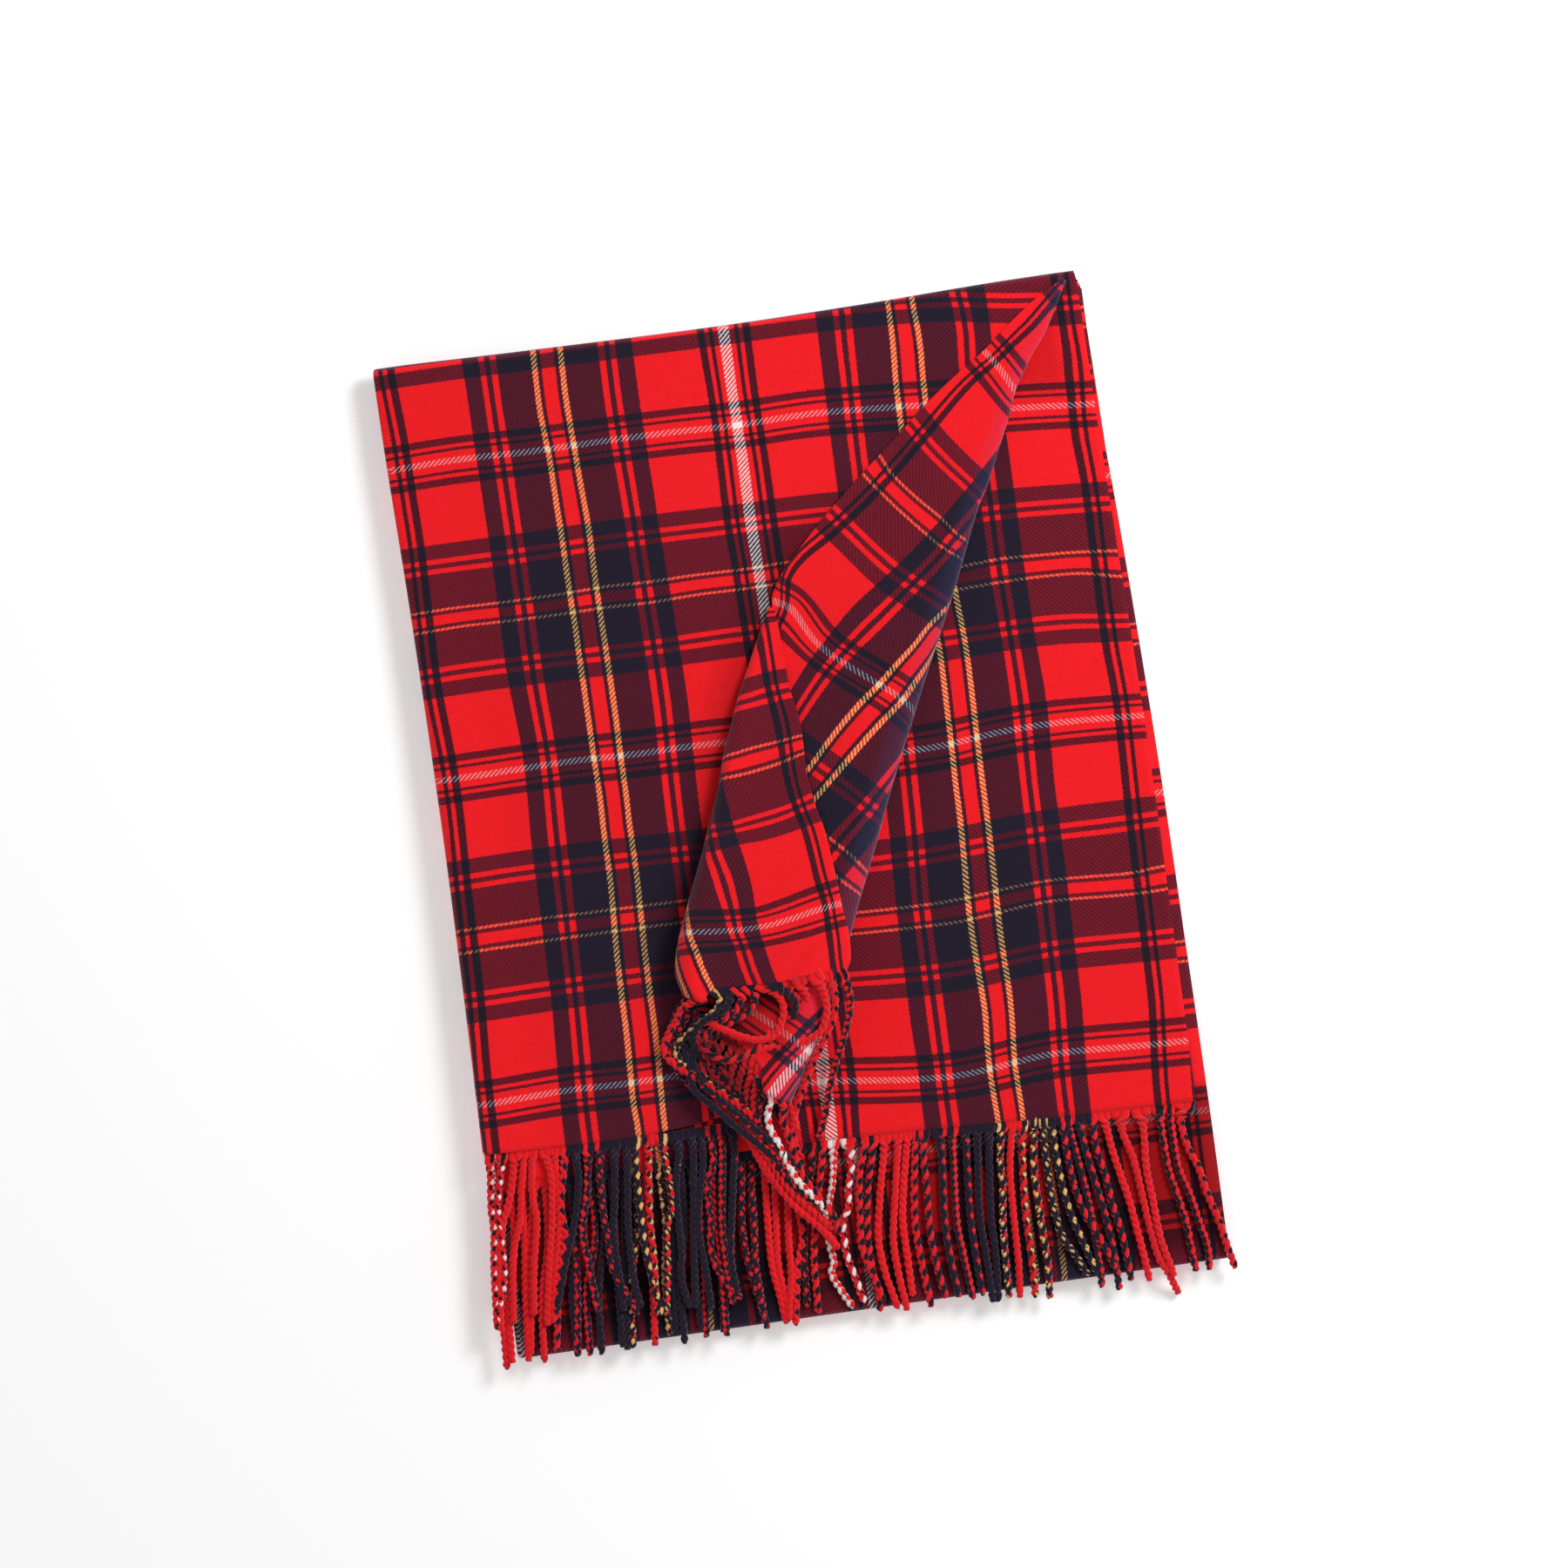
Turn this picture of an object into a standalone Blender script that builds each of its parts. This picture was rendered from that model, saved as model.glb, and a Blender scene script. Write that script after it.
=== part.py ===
"""A tartan blanket scarf, folded in half along its length, then in four across it,
and laid flat with the free corner of its top ply turned back twice in a soft S roll.

Sizes below are in millimetres and point() turns them into metres.
Two plane frames are used on the folded packet, both seen from above:
  u, v  across the packet from its left fold, and down it from its top fold
  a, t  square to the slanted fold (to the right of it), and down along it,
        both from the packet's top right corner
"""

import math

import bmesh
import bpy

# --- the cloth ---------------------------------------------------------------
PLY = 1.6  # thickness of one ply of the soft brushed cloth
GAP = 0.3  # clearance between two plies that lie on each other
HALF = PLY / 2

# --- the folded packet -------------------------------------------------------
BAND = 350.0  # width of the cloth folded in half along its length
LOW_TOP = 12.0  # height of the three hidden double layers
UNDER_Z = LOW_TOP + GAP + HALF  # middle of the under panel
FRONT_Z = UNDER_Z + PLY + GAP  # middle of the front panel
FLAP_Z = FRONT_Z + PLY + GAP  # middle of the flap where it rests on the front panel
TOP_ROLL = 4.2  # distance from the top silhouette to the axis of the top fold
UNDER_ROLL_R = 1.5  # the under panel's own turn at the top fold
FRONT_ROLL_R = UNDER_ROLL_R + PLY + GAP  # the front panel's turn, around it
UNDER_RIGHT = 353.0  # right selvedge of the under panel
UNDER_HEM = (408.0, 415.0)  # hem of the under panel at its left and right end
LOFT_RISE = 30.0  # width of the slope beside the puffed left fold

# --- where the origin stands in the u, v frame -------------------------------
U_MID = 174.0
V_MID = 254.13

# --- the slanted fold --------------------------------------------------------
CORNER_U = 350.0
SLANT = math.radians(27.4)
ACROSS = (math.cos(SLANT), math.sin(SLANT))
ALONG = (-math.sin(SLANT), math.cos(SLANT))

# The left fold is a soft roll that opens a little towards the hem.
LEFT_FOLD = (
    {"v": -5.0, "silhouette": -1.4, "radius": 1.3},
    {"v": 40.0, "silhouette": -1.2, "radius": 1.6},
    {"v": 120.0, "silhouette": 0.3, "radius": 2.2},
    {"v": 220.0, "silhouette": 0.8, "radius": 2.9},
    {"v": 300.0, "silhouette": 0.0, "radius": 3.4},
    {"v": 380.0, "silhouette": -1.6, "radius": 3.7},
    {"v": 420.0, "silhouette": -2.6, "radius": 3.9},
)

# The top fold runs a little hollow between the packet's two corners.
TOP_EDGE = (
    {"u": 15.0, "shift": -2.6},
    {"u": 70.0, "shift": -1.3},
    {"u": 170.0, "shift": 0.0},
    {"u": 240.0, "shift": -0.5},
    {"u": 310.0, "shift": -2.3},
    {"u": 350.0, "shift": -2.6},
)
TOP_EASE = 70.0  # how far down the panel that hollow is felt

# Hem of the front panel, from the left fold to the slanted one.
FRONT_HEM = (
    {"u": -8.0, "v": 391.0},
    {"u": 93.0, "v": 394.6},
    {"u": 130.0, "v": 393.0},
    {"u": 160.0, "v": 388.0},
)

# Sections square to the slanted fold. fold is the outer side of that fold,
# bend its radius; edge is the flap's selvedge and, below t = 205, the outer
# side of its second fold, whose radius is edge_bend.
FLAP = (
    {"t": 14.0, "fold": -2.3, "bend": 1.3, "edge": -12.0, "edge_bend": 0.0},
    {"t": 62.0, "fold": -7.7, "bend": 2.2, "edge": -36.0, "edge_bend": 0.0},
    {"t": 110.0, "fold": -5.3, "bend": 3.2, "edge": -58.0, "edge_bend": 0.0},
    {"t": 165.0, "fold": -3.7, "bend": 4.2, "edge": -80.0, "edge_bend": 0.0},
    {"t": 205.0, "fold": -2.5, "bend": 5.0, "edge": -88.0, "edge_bend": 1.3},
    {"t": 260.0, "fold": -0.9, "bend": 5.9, "edge": -87.3, "edge_bend": 3.8},
    {"t": 320.0, "fold": 2.4, "bend": 7.0, "edge": -79.5, "edge_bend": 6.5},
    {"t": 380.0, "fold": 5.3, "bend": 8.2, "edge": -75.0, "edge_bend": 9.0},
    {"t": 434.0, "fold": 5.0, "bend": 9.0, "edge": -62.0, "edge_bend": 10.5},
)
FLAP_FIRST_T = 14.0
FLAP_HEM_T = 434.0  # hem of the flap at the slanted fold
FLAP_HEM_RISE = 33.0  # how much higher the hem is at the second fold

# Selvedge of the corner that is turned over again.
CORNER = (
    {"t": 202.0, "selvedge": -86.0},
    {"t": 251.0, "selvedge": -56.0},
    {"t": 300.0, "selvedge": -25.0},
    {"t": 345.0, "selvedge": 3.0},
    {"t": 357.0, "selvedge": 7.5},
    {"t": 400.0, "selvedge": 8.0},
)
CORNER_FIRST_T = 214.0
CORNER_HEM_T = 399.0
CORNER_HEM_RISE = 36.0
CORNER_REST = 2.6  # height of the turned-over corner above the flap at its selvedge

# The hidden layers, one ring for each height: how far each side reaches.
# Left sides are folds, right sides are selvedges, so the rings there step
# in and out once for each double layer and once for each ply.
LAYERS = (
    {"z": 0.0, "left": 2.6, "right": 356.4, "top": 2.2, "bottom": 491.0},
    {"z": 1.0, "left": 1.4, "right": 357.4, "top": 1.0, "bottom": 492.6},
    {"z": 3.0, "left": 1.4, "right": 357.0, "top": 0.4, "bottom": 492.2},
    {"z": 4.0, "left": 3.2, "right": 355.6, "top": 0.4, "bottom": 491.0},
    {"z": 5.0, "left": 1.2, "right": 356.6, "top": 0.6, "bottom": 494.6},
    {"z": 6.4, "left": 1.0, "right": 356.2, "top": 1.6, "bottom": 495.8},
    {"z": 7.0, "left": 1.2, "right": 356.8, "top": 4.6, "bottom": 496.0},
    {"z": 8.0, "left": 3.0, "right": 355.4, "top": 4.6, "bottom": 496.0},
    {"z": 9.2, "left": 1.0, "right": 357.6, "top": 4.6, "bottom": 495.6},
    {"z": 10.8, "left": 1.2, "right": 358.0, "top": 4.6, "bottom": 494.0},
    {"z": LOW_TOP, "left": 2.8, "right": 357.0, "top": 5.2, "bottom": 490.6},
)
LAYER_CORNER_R = 7.0  # plan radius of the packet's corners

# --- fringes: plain solids of the tassels' reach -----------------------------
TASSEL = 2.8  # thickness of a lying tassel
SEAM = 0.5  # clearance between a hem and the solid of its fringe
FRONT_FRINGE = (
    {"down": 0.0, "left": -1.0, "right": 146.0, "mid_z": FRONT_Z + 0.7},
    {"down": 16.0, "left": -3.5, "right": 147.0, "mid_z": FRONT_Z + 2.1},
    {"down": 50.0, "left": -6.5, "right": 148.0, "mid_z": FRONT_Z + 2.0},
    {"down": 88.0, "left": -12.0, "right": 150.0, "mid_z": FRONT_Z + 1.9},
)
UNDER_FRINGE = (
    {"down": 0.0, "left": 3.0, "right": 353.0, "mid_z": LOW_TOP + GAP + TASSEL / 2},
    {"down": 40.0, "left": -2.0, "right": 355.0, "mid_z": LOW_TOP + GAP + TASSEL / 2},
    {"down": 84.0, "left": -6.0, "right": 358.5, "mid_z": LOW_TOP + GAP + TASSEL / 2},
    {"down": 95.0, "left": -7.0, "right": 360.0, "mid_z": LOW_TOP - 0.4},
)
# The flap's tassels gather into one bundle that lies down across the front
# panel's own fringe; rows run from the hem to the tips.
FLAP_FRINGE = (
    {"way": 0.0, "narrow": 1.00, "tip": 0.0},
    {"way": 0.30, "narrow": 0.62, "tip": 0.30},
    {"way": 0.65, "narrow": 0.36, "tip": 0.65},
    {"way": 1.00, "narrow": 0.20, "tip": 1.0},
)
FLAP_TIP = (28.0, 508.0)  # a, t of the middle of the bundle's end
FLAP_TIP_Z = 20.6
FLAP_BUNDLE = 3.4  # thickness of the flap's bundle
CORNER_BUNDLE = 3.0  # thickness of the turned-over corner's bundle

# --- mesh fineness -----------------------------------------------------------
BEND_STEPS = 7
COLUMNS = 12
ROWS = 16


def column(table, key, name, at):
    """The value of a named column, read between the rows of a table."""
    if at <= table[0][key]:
        return table[0][name]
    for low, high in zip(table, table[1:]):
        if at <= high[key]:
            part = (at - low[key]) / (high[key] - low[key])
            return low[name] + (high[name] - low[name]) * part
    return table[-1][name]


def smooth(x):
    x = min(1.0, max(0.0, x))
    return x * x * (3 - 2 * x)


def mix(x, y, part):
    return x + (y - x) * part


def steps(first, last, count):
    return [mix(first, last, i / count) for i in range(count + 1)]


def point(u, v, z):
    return ((u - U_MID) / 1000, (V_MID - v) / 1000, z / 1000)


def slanted(a, t, z):
    u = CORNER_U + a * ACROSS[0] + t * ALONG[0]
    v = a * ACROSS[1] + t * ALONG[1]
    return point(u, v, z)


# --- materials ---------------------------------------------------------------
def cloth_material(name, colour):
    material = bpy.data.materials.new(name)
    material.use_nodes = True
    shader = material.node_tree.nodes["Principled BSDF"]
    shader.inputs["Base Color"].default_value = (*colour, 1.0)
    shader.inputs["Roughness"].default_value = 0.9
    shader.inputs["Metallic"].default_value = 0.0
    material.diffuse_color = (*colour, 1.0)
    return material


for old in list(bpy.data.objects):
    bpy.data.objects.remove(old, do_unlink=True)

scarf = bpy.data.collections.new("tartan_blanket_scarf")
bpy.context.scene.collection.children.link(scarf)


def add_object(name, mesh, colour):
    obj = bpy.data.objects.new(name, mesh)
    scarf.objects.link(obj)
    mesh.materials.append(cloth_material(name + "_cloth", colour))
    return obj


def sheet(name, rows, thickness, colour):
    """A wall of cloth: an open surface through rows of points, thickened evenly about itself."""
    bm = bmesh.new()
    grid = [[bm.verts.new(p) for p in row] for row in rows]
    for upper, lower in zip(grid, grid[1:]):
        for i in range(len(upper) - 1):
            bm.faces.new((upper[i], upper[i + 1], lower[i + 1], lower[i]))
    bmesh.ops.recalc_face_normals(bm, faces=bm.faces)
    mesh = bpy.data.meshes.new(name)
    bm.to_mesh(mesh)
    bm.free()
    obj = add_object(name, mesh, colour)
    wall = obj.modifiers.new("wall", "SOLIDIFY")
    wall.thickness = thickness / 1000
    wall.offset = 0.0
    mesh.shade_smooth()
    mesh.set_sharp_from_angle(angle=math.radians(50))
    return obj


# --- the hidden layers -------------------------------------------------------
def layer_ring(row):
    """A rounded rectangle at one height."""
    left, right, top, bottom = row["left"], row["right"], row["top"], row["bottom"]
    r = LAYER_CORNER_R
    centres = (
        (right - r, top + r, -90),
        (right - r, bottom - r, 0),
        (left + r, bottom - r, 90),
        (left + r, top + r, 180),
    )
    ring = []
    for cu, cv, start in centres:
        for k in range(5):
            angle = math.radians(start + 22.5 * k)
            ring.append(
                point(cu + r * math.cos(angle), cv + r * math.sin(angle), row["z"])
            )
    return ring


def folded_layers():
    bm = bmesh.new()
    rings = [[bm.verts.new(p) for p in layer_ring(row)] for row in LAYERS]
    count = len(rings[0])
    for low, high in zip(rings, rings[1:]):
        for i in range(count):
            j = (i + 1) % count
            bm.faces.new((low[i], low[j], high[j], high[i]))
    bm.faces.new(rings[0])
    bm.faces.new(rings[-1])
    bmesh.ops.recalc_face_normals(bm, faces=bm.faces)
    mesh = bpy.data.meshes.new("folded_layers")
    bm.to_mesh(mesh)
    bm.free()
    return add_object("folded_layers", mesh, (0.20, 0.02, 0.04))


# --- the under panel ---------------------------------------------------------
def left_roll(v):
    """Radius and axis of the left fold at v."""
    radius = column(LEFT_FOLD, "v", "radius", v)
    return radius, column(LEFT_FOLD, "v", "silhouette", v) + HALF + radius


def under_hem(u):
    return mix(UNDER_HEM[0], UNDER_HEM[1], smooth((u - 150) / 200))


def hollow(u, v):
    """How far the top fold's unevenness moves a point of the panels at v."""
    return column(TOP_EDGE, "u", "shift", u) * (1 - smooth(v / TOP_EASE))


def under_panel():
    rows = []
    for k in range(BEND_STEPS + 1):
        angle = math.pi * (1 - k / BEND_STEPS)
        v = TOP_ROLL - UNDER_ROLL_R * math.sin(angle)
        z = UNDER_Z - UNDER_ROLL_R * (1 - math.cos(angle))
        rows.append((lambda u, v=v: v, z))
    for part in steps(0.0, 1.0, ROWS)[1:]:
        rows.append((lambda u, part=part: mix(TOP_ROLL, under_hem(u), part), UNDER_Z))
    points = []
    for at, z in rows:
        row = []
        for part in steps(0.0, 1.0, COLUMNS):
            left = left_roll(at(0.0))[1] + GAP + 0.2
            u = mix(left, UNDER_RIGHT, part)
            row.append(point(u, at(u) + hollow(u, at(u)), z))
        points.append(row)
    return sheet("under_panel", points, PLY, (0.42, 0.02, 0.03))


# --- the front panel ---------------------------------------------------------
def fold_axis(t):
    """Where the slanted fold starts to rise from the front panel."""
    return column(FLAP, "t", "fold", t) - HALF - column(FLAP, "t", "bend", t)


def front_right(v):
    """The front panel ends where the slanted fold starts to rise."""
    t = v / ALONG[1]
    for _ in range(12):
        t = (v - fold_axis(t) * ACROSS[1]) / ALONG[1]
    return CORNER_U + fold_axis(t) * ACROSS[0] + t * ALONG[0] - GAP


def front_row(v_at, drop, roll_part, right_v):
    """One row of the front panel, from its tucked left fold to the slanted fold."""
    row = []
    radius, axis = left_roll(right_v)
    radius *= roll_part
    tuck = 2 * radius
    lift = (2 * radius - (FRONT_Z - UNDER_Z)) * roll_part
    for k in range(BEND_STEPS):
        angle = math.pi * k / BEND_STEPS
        u = axis - radius * math.sin(angle)
        z = FRONT_Z + lift - tuck + radius * (1 - math.cos(angle)) - drop
        row.append(point(u, v_at(u) + hollow(u, v_at(u)), z))
    right = front_right(max(right_v, 10.0))
    for part in steps(0.0, 1.0, COLUMNS):
        u = mix(axis, right, part**1.3)
        z = FRONT_Z + lift * (1 - smooth((u - axis) / LOFT_RISE)) - drop
        row.append(point(u, v_at(u) + hollow(u, v_at(u)), z))
    return row


def front_panel():
    points = []
    for k in range(BEND_STEPS):
        angle = math.pi * (1 - k / BEND_STEPS)
        v = TOP_ROLL - FRONT_ROLL_R * math.sin(angle)
        drop = FRONT_ROLL_R * (1 - math.cos(angle))
        part = max(0.25, 1 - drop / (2 * FRONT_ROLL_R))
        points.append(front_row(lambda u, v=v: v, drop, part, v))
    for share in steps(0.0, 1.0, ROWS):
        level = mix(TOP_ROLL, column(FRONT_HEM, "u", "v", 60.0), share)
        blend = share**4

        def at(u, level=level, blend=blend):
            hem = column(FRONT_HEM, "u", "v", u)
            return level + (hem - column(FRONT_HEM, "u", "v", 60.0)) * blend

        points.append(front_row(at, 0.0, 1.0, level))
    return sheet("front_panel", points, PLY, (0.60, 0.02, 0.03))


# --- the flap and the corner -------------------------------------------------
def edge_axis(t):
    """Where the second fold starts to rise from the flap, or the flap's selvedge."""
    bend = column(FLAP, "t", "edge_bend", t)
    return column(FLAP, "t", "edge", t) + (HALF + bend if bend > 1.0 else 0.0)


def flap_height(a, t):
    """Middle of the flap between its two folds: down from the roll to the front panel."""
    start, end = fold_axis(t), edge_axis(t)
    part = (start - a) / (start - end)
    return mix(FRONT_Z + 2 * column(FLAP, "t", "bend", t), FLAP_Z, smooth(part))


def turned_back_flap():
    points = []
    for share in steps(0.0, 1.0, ROWS + 4):
        t_row = mix(FLAP_FIRST_T, FLAP_HEM_T, share)
        row = []
        for k in range(BEND_STEPS):
            angle = math.pi * k / BEND_STEPS
            bend = column(FLAP, "t", "bend", t_row)
            a = fold_axis(t_row) + bend * math.sin(angle) + GAP
            z = FRONT_Z + bend * (1 - math.cos(angle))
            row.append(slanted(a, t_row, z))
        for part in steps(0.0, 1.0, 8):
            t = t_row - share**3 * FLAP_HEM_RISE * part
            gap = GAP if t > 205 else 0.0
            a = mix(fold_axis(t) + GAP * (1 - part), edge_axis(t) + gap, part)
            row.append(slanted(a, t, flap_height(a, t)))
        points.append(row)
    return sheet("turned_back_flap", points, PLY, (0.50, 0.02, 0.03))


def corner_height(a, t):
    start = edge_axis(t)
    end = column(CORNER, "t", "selvedge", t)
    part = (a - start) / (end - start)
    rise = mix(2 * column(FLAP, "t", "edge_bend", t), CORNER_REST, part)
    inside = min(a, fold_axis(t))
    return flap_height(inside, t) + rise


def turned_over_corner():
    points = []
    for share in steps(0.0, 1.0, ROWS - 4):
        t_row = mix(CORNER_FIRST_T, CORNER_HEM_T, share)
        row = []
        for k in range(BEND_STEPS):
            angle = math.pi * k / BEND_STEPS
            bend = column(FLAP, "t", "edge_bend", t_row)
            a = edge_axis(t_row) - bend * math.sin(angle) - GAP
            z = FLAP_Z + bend * (1 - math.cos(angle))
            row.append(slanted(a, t_row, z))
        for part in steps(0.0, 1.0, 8):
            t = t_row - share**3 * CORNER_HEM_RISE * part
            start, end = edge_axis(t), column(CORNER, "t", "selvedge", t)
            a = mix(start, end, part)
            row.append(slanted(a - GAP * (1 - part), t, corner_height(a, t)))
        points.append(row)
    return sheet("turned_over_corner", points, PLY, (0.60, 0.02, 0.03))


# --- the fringes -------------------------------------------------------------
def lying_fringe(name, table, hem, colour):
    reach = table[-1]["down"]
    points = []
    for down in sorted({*steps(0.0, reach, 5), *[row["down"] for row in table]}):
        left = column(table, "down", "left", down)
        right = column(table, "down", "right", down)
        row = []
        for u in steps(left, right, COLUMNS):
            z = column(table, "down", "mid_z", down)
            row.append(point(u, hem(u) + SEAM + down, z))
        points.append(row)
    return sheet(name, points, TASSEL, colour)


def bundle(name, root, thickness, arch, lift, falls, colour):
    """A gathered fringe: root(part) gives a, t, z along the hem.

    It keeps its height and a little arch until falls, as a share of its way,
    then comes down to its tip.
    """
    points = []
    for way in steps(0.0, 1.0, 7):
        narrow = column(FLAP_FRINGE, "way", "narrow", way)
        tip = column(FLAP_FRINGE, "way", "tip", way)
        row = []
        middle = root(0.5)
        for part in steps(0.0, 1.0, 8):
            a, t, z = root(part)
            shift = (a - middle[0]) * narrow, (t - middle[1]) * narrow
            base = (
                mix(middle[0], FLAP_TIP[0], tip),
                mix(middle[1], FLAP_TIP[1], tip),
            )
            raised = z + arch * smooth(tip * 8)
            down = smooth((tip - falls) / min(0.4, 1 - falls))
            height = mix(raised, FLAP_TIP_Z + lift, down)
            row.append(slanted(base[0] + shift[0], base[1] + shift[1], height))
        points.append(row)
    return sheet(name, points, thickness, colour)


def flap_root(part):
    share = mix(0.04, 0.97, part)
    t = FLAP_HEM_T - FLAP_HEM_RISE * share
    a = mix(fold_axis(t), edge_axis(t), share)
    rest = FRONT_Z + HALF + GAP + FLAP_BUNDLE / 2
    return a, t + SEAM + 0.6, max(flap_height(a, t), rest + 0.1)


def corner_root(part):
    share = mix(0.05, 0.97, part)
    t = CORNER_HEM_T - CORNER_HEM_RISE * share
    a = mix(edge_axis(t), column(CORNER, "t", "selvedge", t), share)
    return a, t + SEAM + 0.6, corner_height(a, t)


folded_layers()
under_panel()
front_panel()
turned_back_flap()
turned_over_corner()
lying_fringe(
    "front_fringe",
    FRONT_FRINGE,
    lambda u: column(FRONT_HEM, "u", "v", u),
    (0.35, 0.02, 0.03),
)
lying_fringe("under_fringe", UNDER_FRINGE, under_hem, (0.25, 0.02, 0.04))
bundle("flap_fringe", flap_root, FLAP_BUNDLE, 0.0, 0.0, 0.0, (0.30, 0.02, 0.04))
bundle(
    "corner_fringe",
    corner_root,
    CORNER_BUNDLE,
    2.4,
    FLAP_BUNDLE / 2 + CORNER_BUNDLE / 2 + 1.2,
    0.55,
    (0.40, 0.02, 0.04),
)
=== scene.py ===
"""The looks of a folded tartan blanket scarf: red, navy, white and yellow twill with twisted fringes.

Sizes are in millimetres and place() turns them into metres. Two plane frames are used, as in the part:
  u, v  across the folded packet from its left fold, and down it from its top fold
  a, t  square to the slanted fold (to the right of it), and down along it, from the top right corner
A cloth position is a pair (warp, weft): millimetres across the scarf from its left fold, and down from its top fold.
"""

import math
import random

import bpy
import numpy as np
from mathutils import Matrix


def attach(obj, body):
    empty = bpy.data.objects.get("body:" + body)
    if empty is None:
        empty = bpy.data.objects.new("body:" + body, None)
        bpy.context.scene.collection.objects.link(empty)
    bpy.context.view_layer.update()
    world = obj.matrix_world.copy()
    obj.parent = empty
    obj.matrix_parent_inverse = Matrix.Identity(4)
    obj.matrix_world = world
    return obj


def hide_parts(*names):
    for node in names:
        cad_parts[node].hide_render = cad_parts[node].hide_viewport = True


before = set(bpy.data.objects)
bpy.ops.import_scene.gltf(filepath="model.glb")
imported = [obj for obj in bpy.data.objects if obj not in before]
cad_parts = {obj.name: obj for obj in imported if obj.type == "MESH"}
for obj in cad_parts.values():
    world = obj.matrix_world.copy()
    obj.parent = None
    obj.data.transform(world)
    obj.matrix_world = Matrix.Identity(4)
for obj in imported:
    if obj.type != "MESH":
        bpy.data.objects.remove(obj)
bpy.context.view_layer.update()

random.seed(7)

# --- frames ------------------------------------------------------------------
U_MID, V_MID = 174.0, 254.13
CORNER_U = 350.0
SLANT = math.radians(27.4)
COS, SIN = math.cos(SLANT), math.sin(SLANT)


def place(u, v, z):
    return ((u - U_MID) / 1000, (V_MID - v) / 1000, z / 1000)


def from_fold(a, t):
    """Packet position u, v of a point given from the slanted fold."""
    return CORNER_U + a * COS - t * SIN, a * SIN + t * COS


def to_fold(u, v):
    du = u - CORNER_U
    return du * COS + v * SIN, -du * SIN + v * COS


def smooth(x):
    x = min(1.0, max(0.0, x))
    return x * x * (3 - 2 * x)


def mix(x, y, part):
    return x + (y - x) * part


def curve(rows):
    """A smooth curve through (position, value) rows, straight beyond their ends."""
    xs = [float(r[0]) for r in rows]
    ys = [float(r[1]) for r in rows]
    slopes = []
    for i in range(len(xs)):
        lo, hi = max(0, i - 1), min(len(xs) - 1, i + 1)
        slopes.append((ys[hi] - ys[lo]) / (xs[hi] - xs[lo]))

    def at(x):
        if x <= xs[0]:
            return ys[0]
        if x >= xs[-1]:
            return ys[-1]
        i = max(k for k in range(len(xs) - 1) if xs[k] <= x)
        h = xs[i + 1] - xs[i]
        s = (x - xs[i]) / h
        return (
            (2 * s**3 - 3 * s**2 + 1) * ys[i]
            + (s**3 - 2 * s**2 + s) * h * slopes[i]
            + (-2 * s**3 + 3 * s**2) * ys[i + 1]
            + (s**3 - s**2) * h * slopes[i + 1]
        )

    return at


def bending_plate(lines, axis, ease=0.0015):
    """A smooth field that takes a known value along each measured line of the pattern."""
    points, values = [], []
    for name, value, places in lines:
        if name == axis:
            points += places
            values += [value] * len(places)
    p = np.array(points) / 100
    n = len(p)
    gap = np.linalg.norm(p[:, None] - p[None], axis=2)
    a = np.zeros((n + 3, n + 3))
    a[:n, :n] = gap**2 * np.log(gap + 1e-9) + ease * np.eye(n)
    a[:n, n] = 1
    a[:n, n + 1 :] = p
    a[n, :n] = 1
    a[n + 1 :, :n] = p.T
    w = np.linalg.solve(a, np.array(values + [0.0, 0.0, 0.0]))

    def at(x, y):
        d = np.hypot(p[:, 0] - x / 100, p[:, 1] - y / 100)
        return float((d**2 * np.log(d + 1e-9)) @ w[:n] + w[n] + w[n + 1] * x / 100 + w[n + 2] * y / 100)

    return at


# --- heights and folds of the cloth -------------------------------------------
PLY = 1.5
HALF = 0.8
UNDER_Z = 13.1  # middle of the under panel
FRONT_Z = 15.0  # middle of the front panel
FLAP_Z = 16.9  # middle of the turned-back flap where it rests
TOP_ROLL = 4.2
UNDER_TOP = 2.4
UNDER_ROLL_R = 1.5
FRONT_ROLL_R = 3.4

left_outline = curve(((-5, -1.4), (40, -1.2), (120, 0.3), (220, 0.8), (300, 0.0), (380, -1.6), (420, -2.6)))
left_radius = curve(((-5, 1.3), (40, 1.6), (120, 2.2), (220, 2.9), (300, 3.4), (380, 3.7), (420, 3.9)))
top_edge = curve(((15, -3.6), (70, -2.3), (170, -0.8), (240, -1.4), (310, -3.1), (350, -3.4)))
TOP_EASE = 70.0  # how far down the slight hollow of the top edge is felt
front_hem = curve(((-8, 391.0), (40, 393.2), (93, 394.6), (130, 393.0), (160, 388.0)))
under_hem = curve(((0, 408.0), (150, 408.4), (220, 410.5), (280, 413.2), (353, 415.2)))
under_right = curve(((0, 352.2), (65, 352.6), (130, 353.6), (220, 354.9), (300, 354.6), (380, 354.0), (420, 353.4)))

# outer side of the slanted fold, and the radius of its roll
fold_outline = curve(
    ((3, -2.0), (30, -3.2), (45, -6.0), (62, -7.6), (77, -6.3), (93, -5.8), (109, -5.2), (126, -5.8), (150, -4.4),
     (164, -3.7), (187, -3.0), (214, -2.5), (237, -1.7), (250, -1.3), (273, -0.3), (291, 1.1), (309, 2.1), (327, 2.9),
     (345, 4.3), (381, 5.6), (400, 6.6), (416, 5.6), (434, 3.6))
)
fold_radius = curve(((14, 1.3), (62, 2.2), (110, 3.2), (165, 4.2), (205, 5.0), (260, 5.9), (320, 7.0), (380, 8.2), (434, 9.0)))
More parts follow.
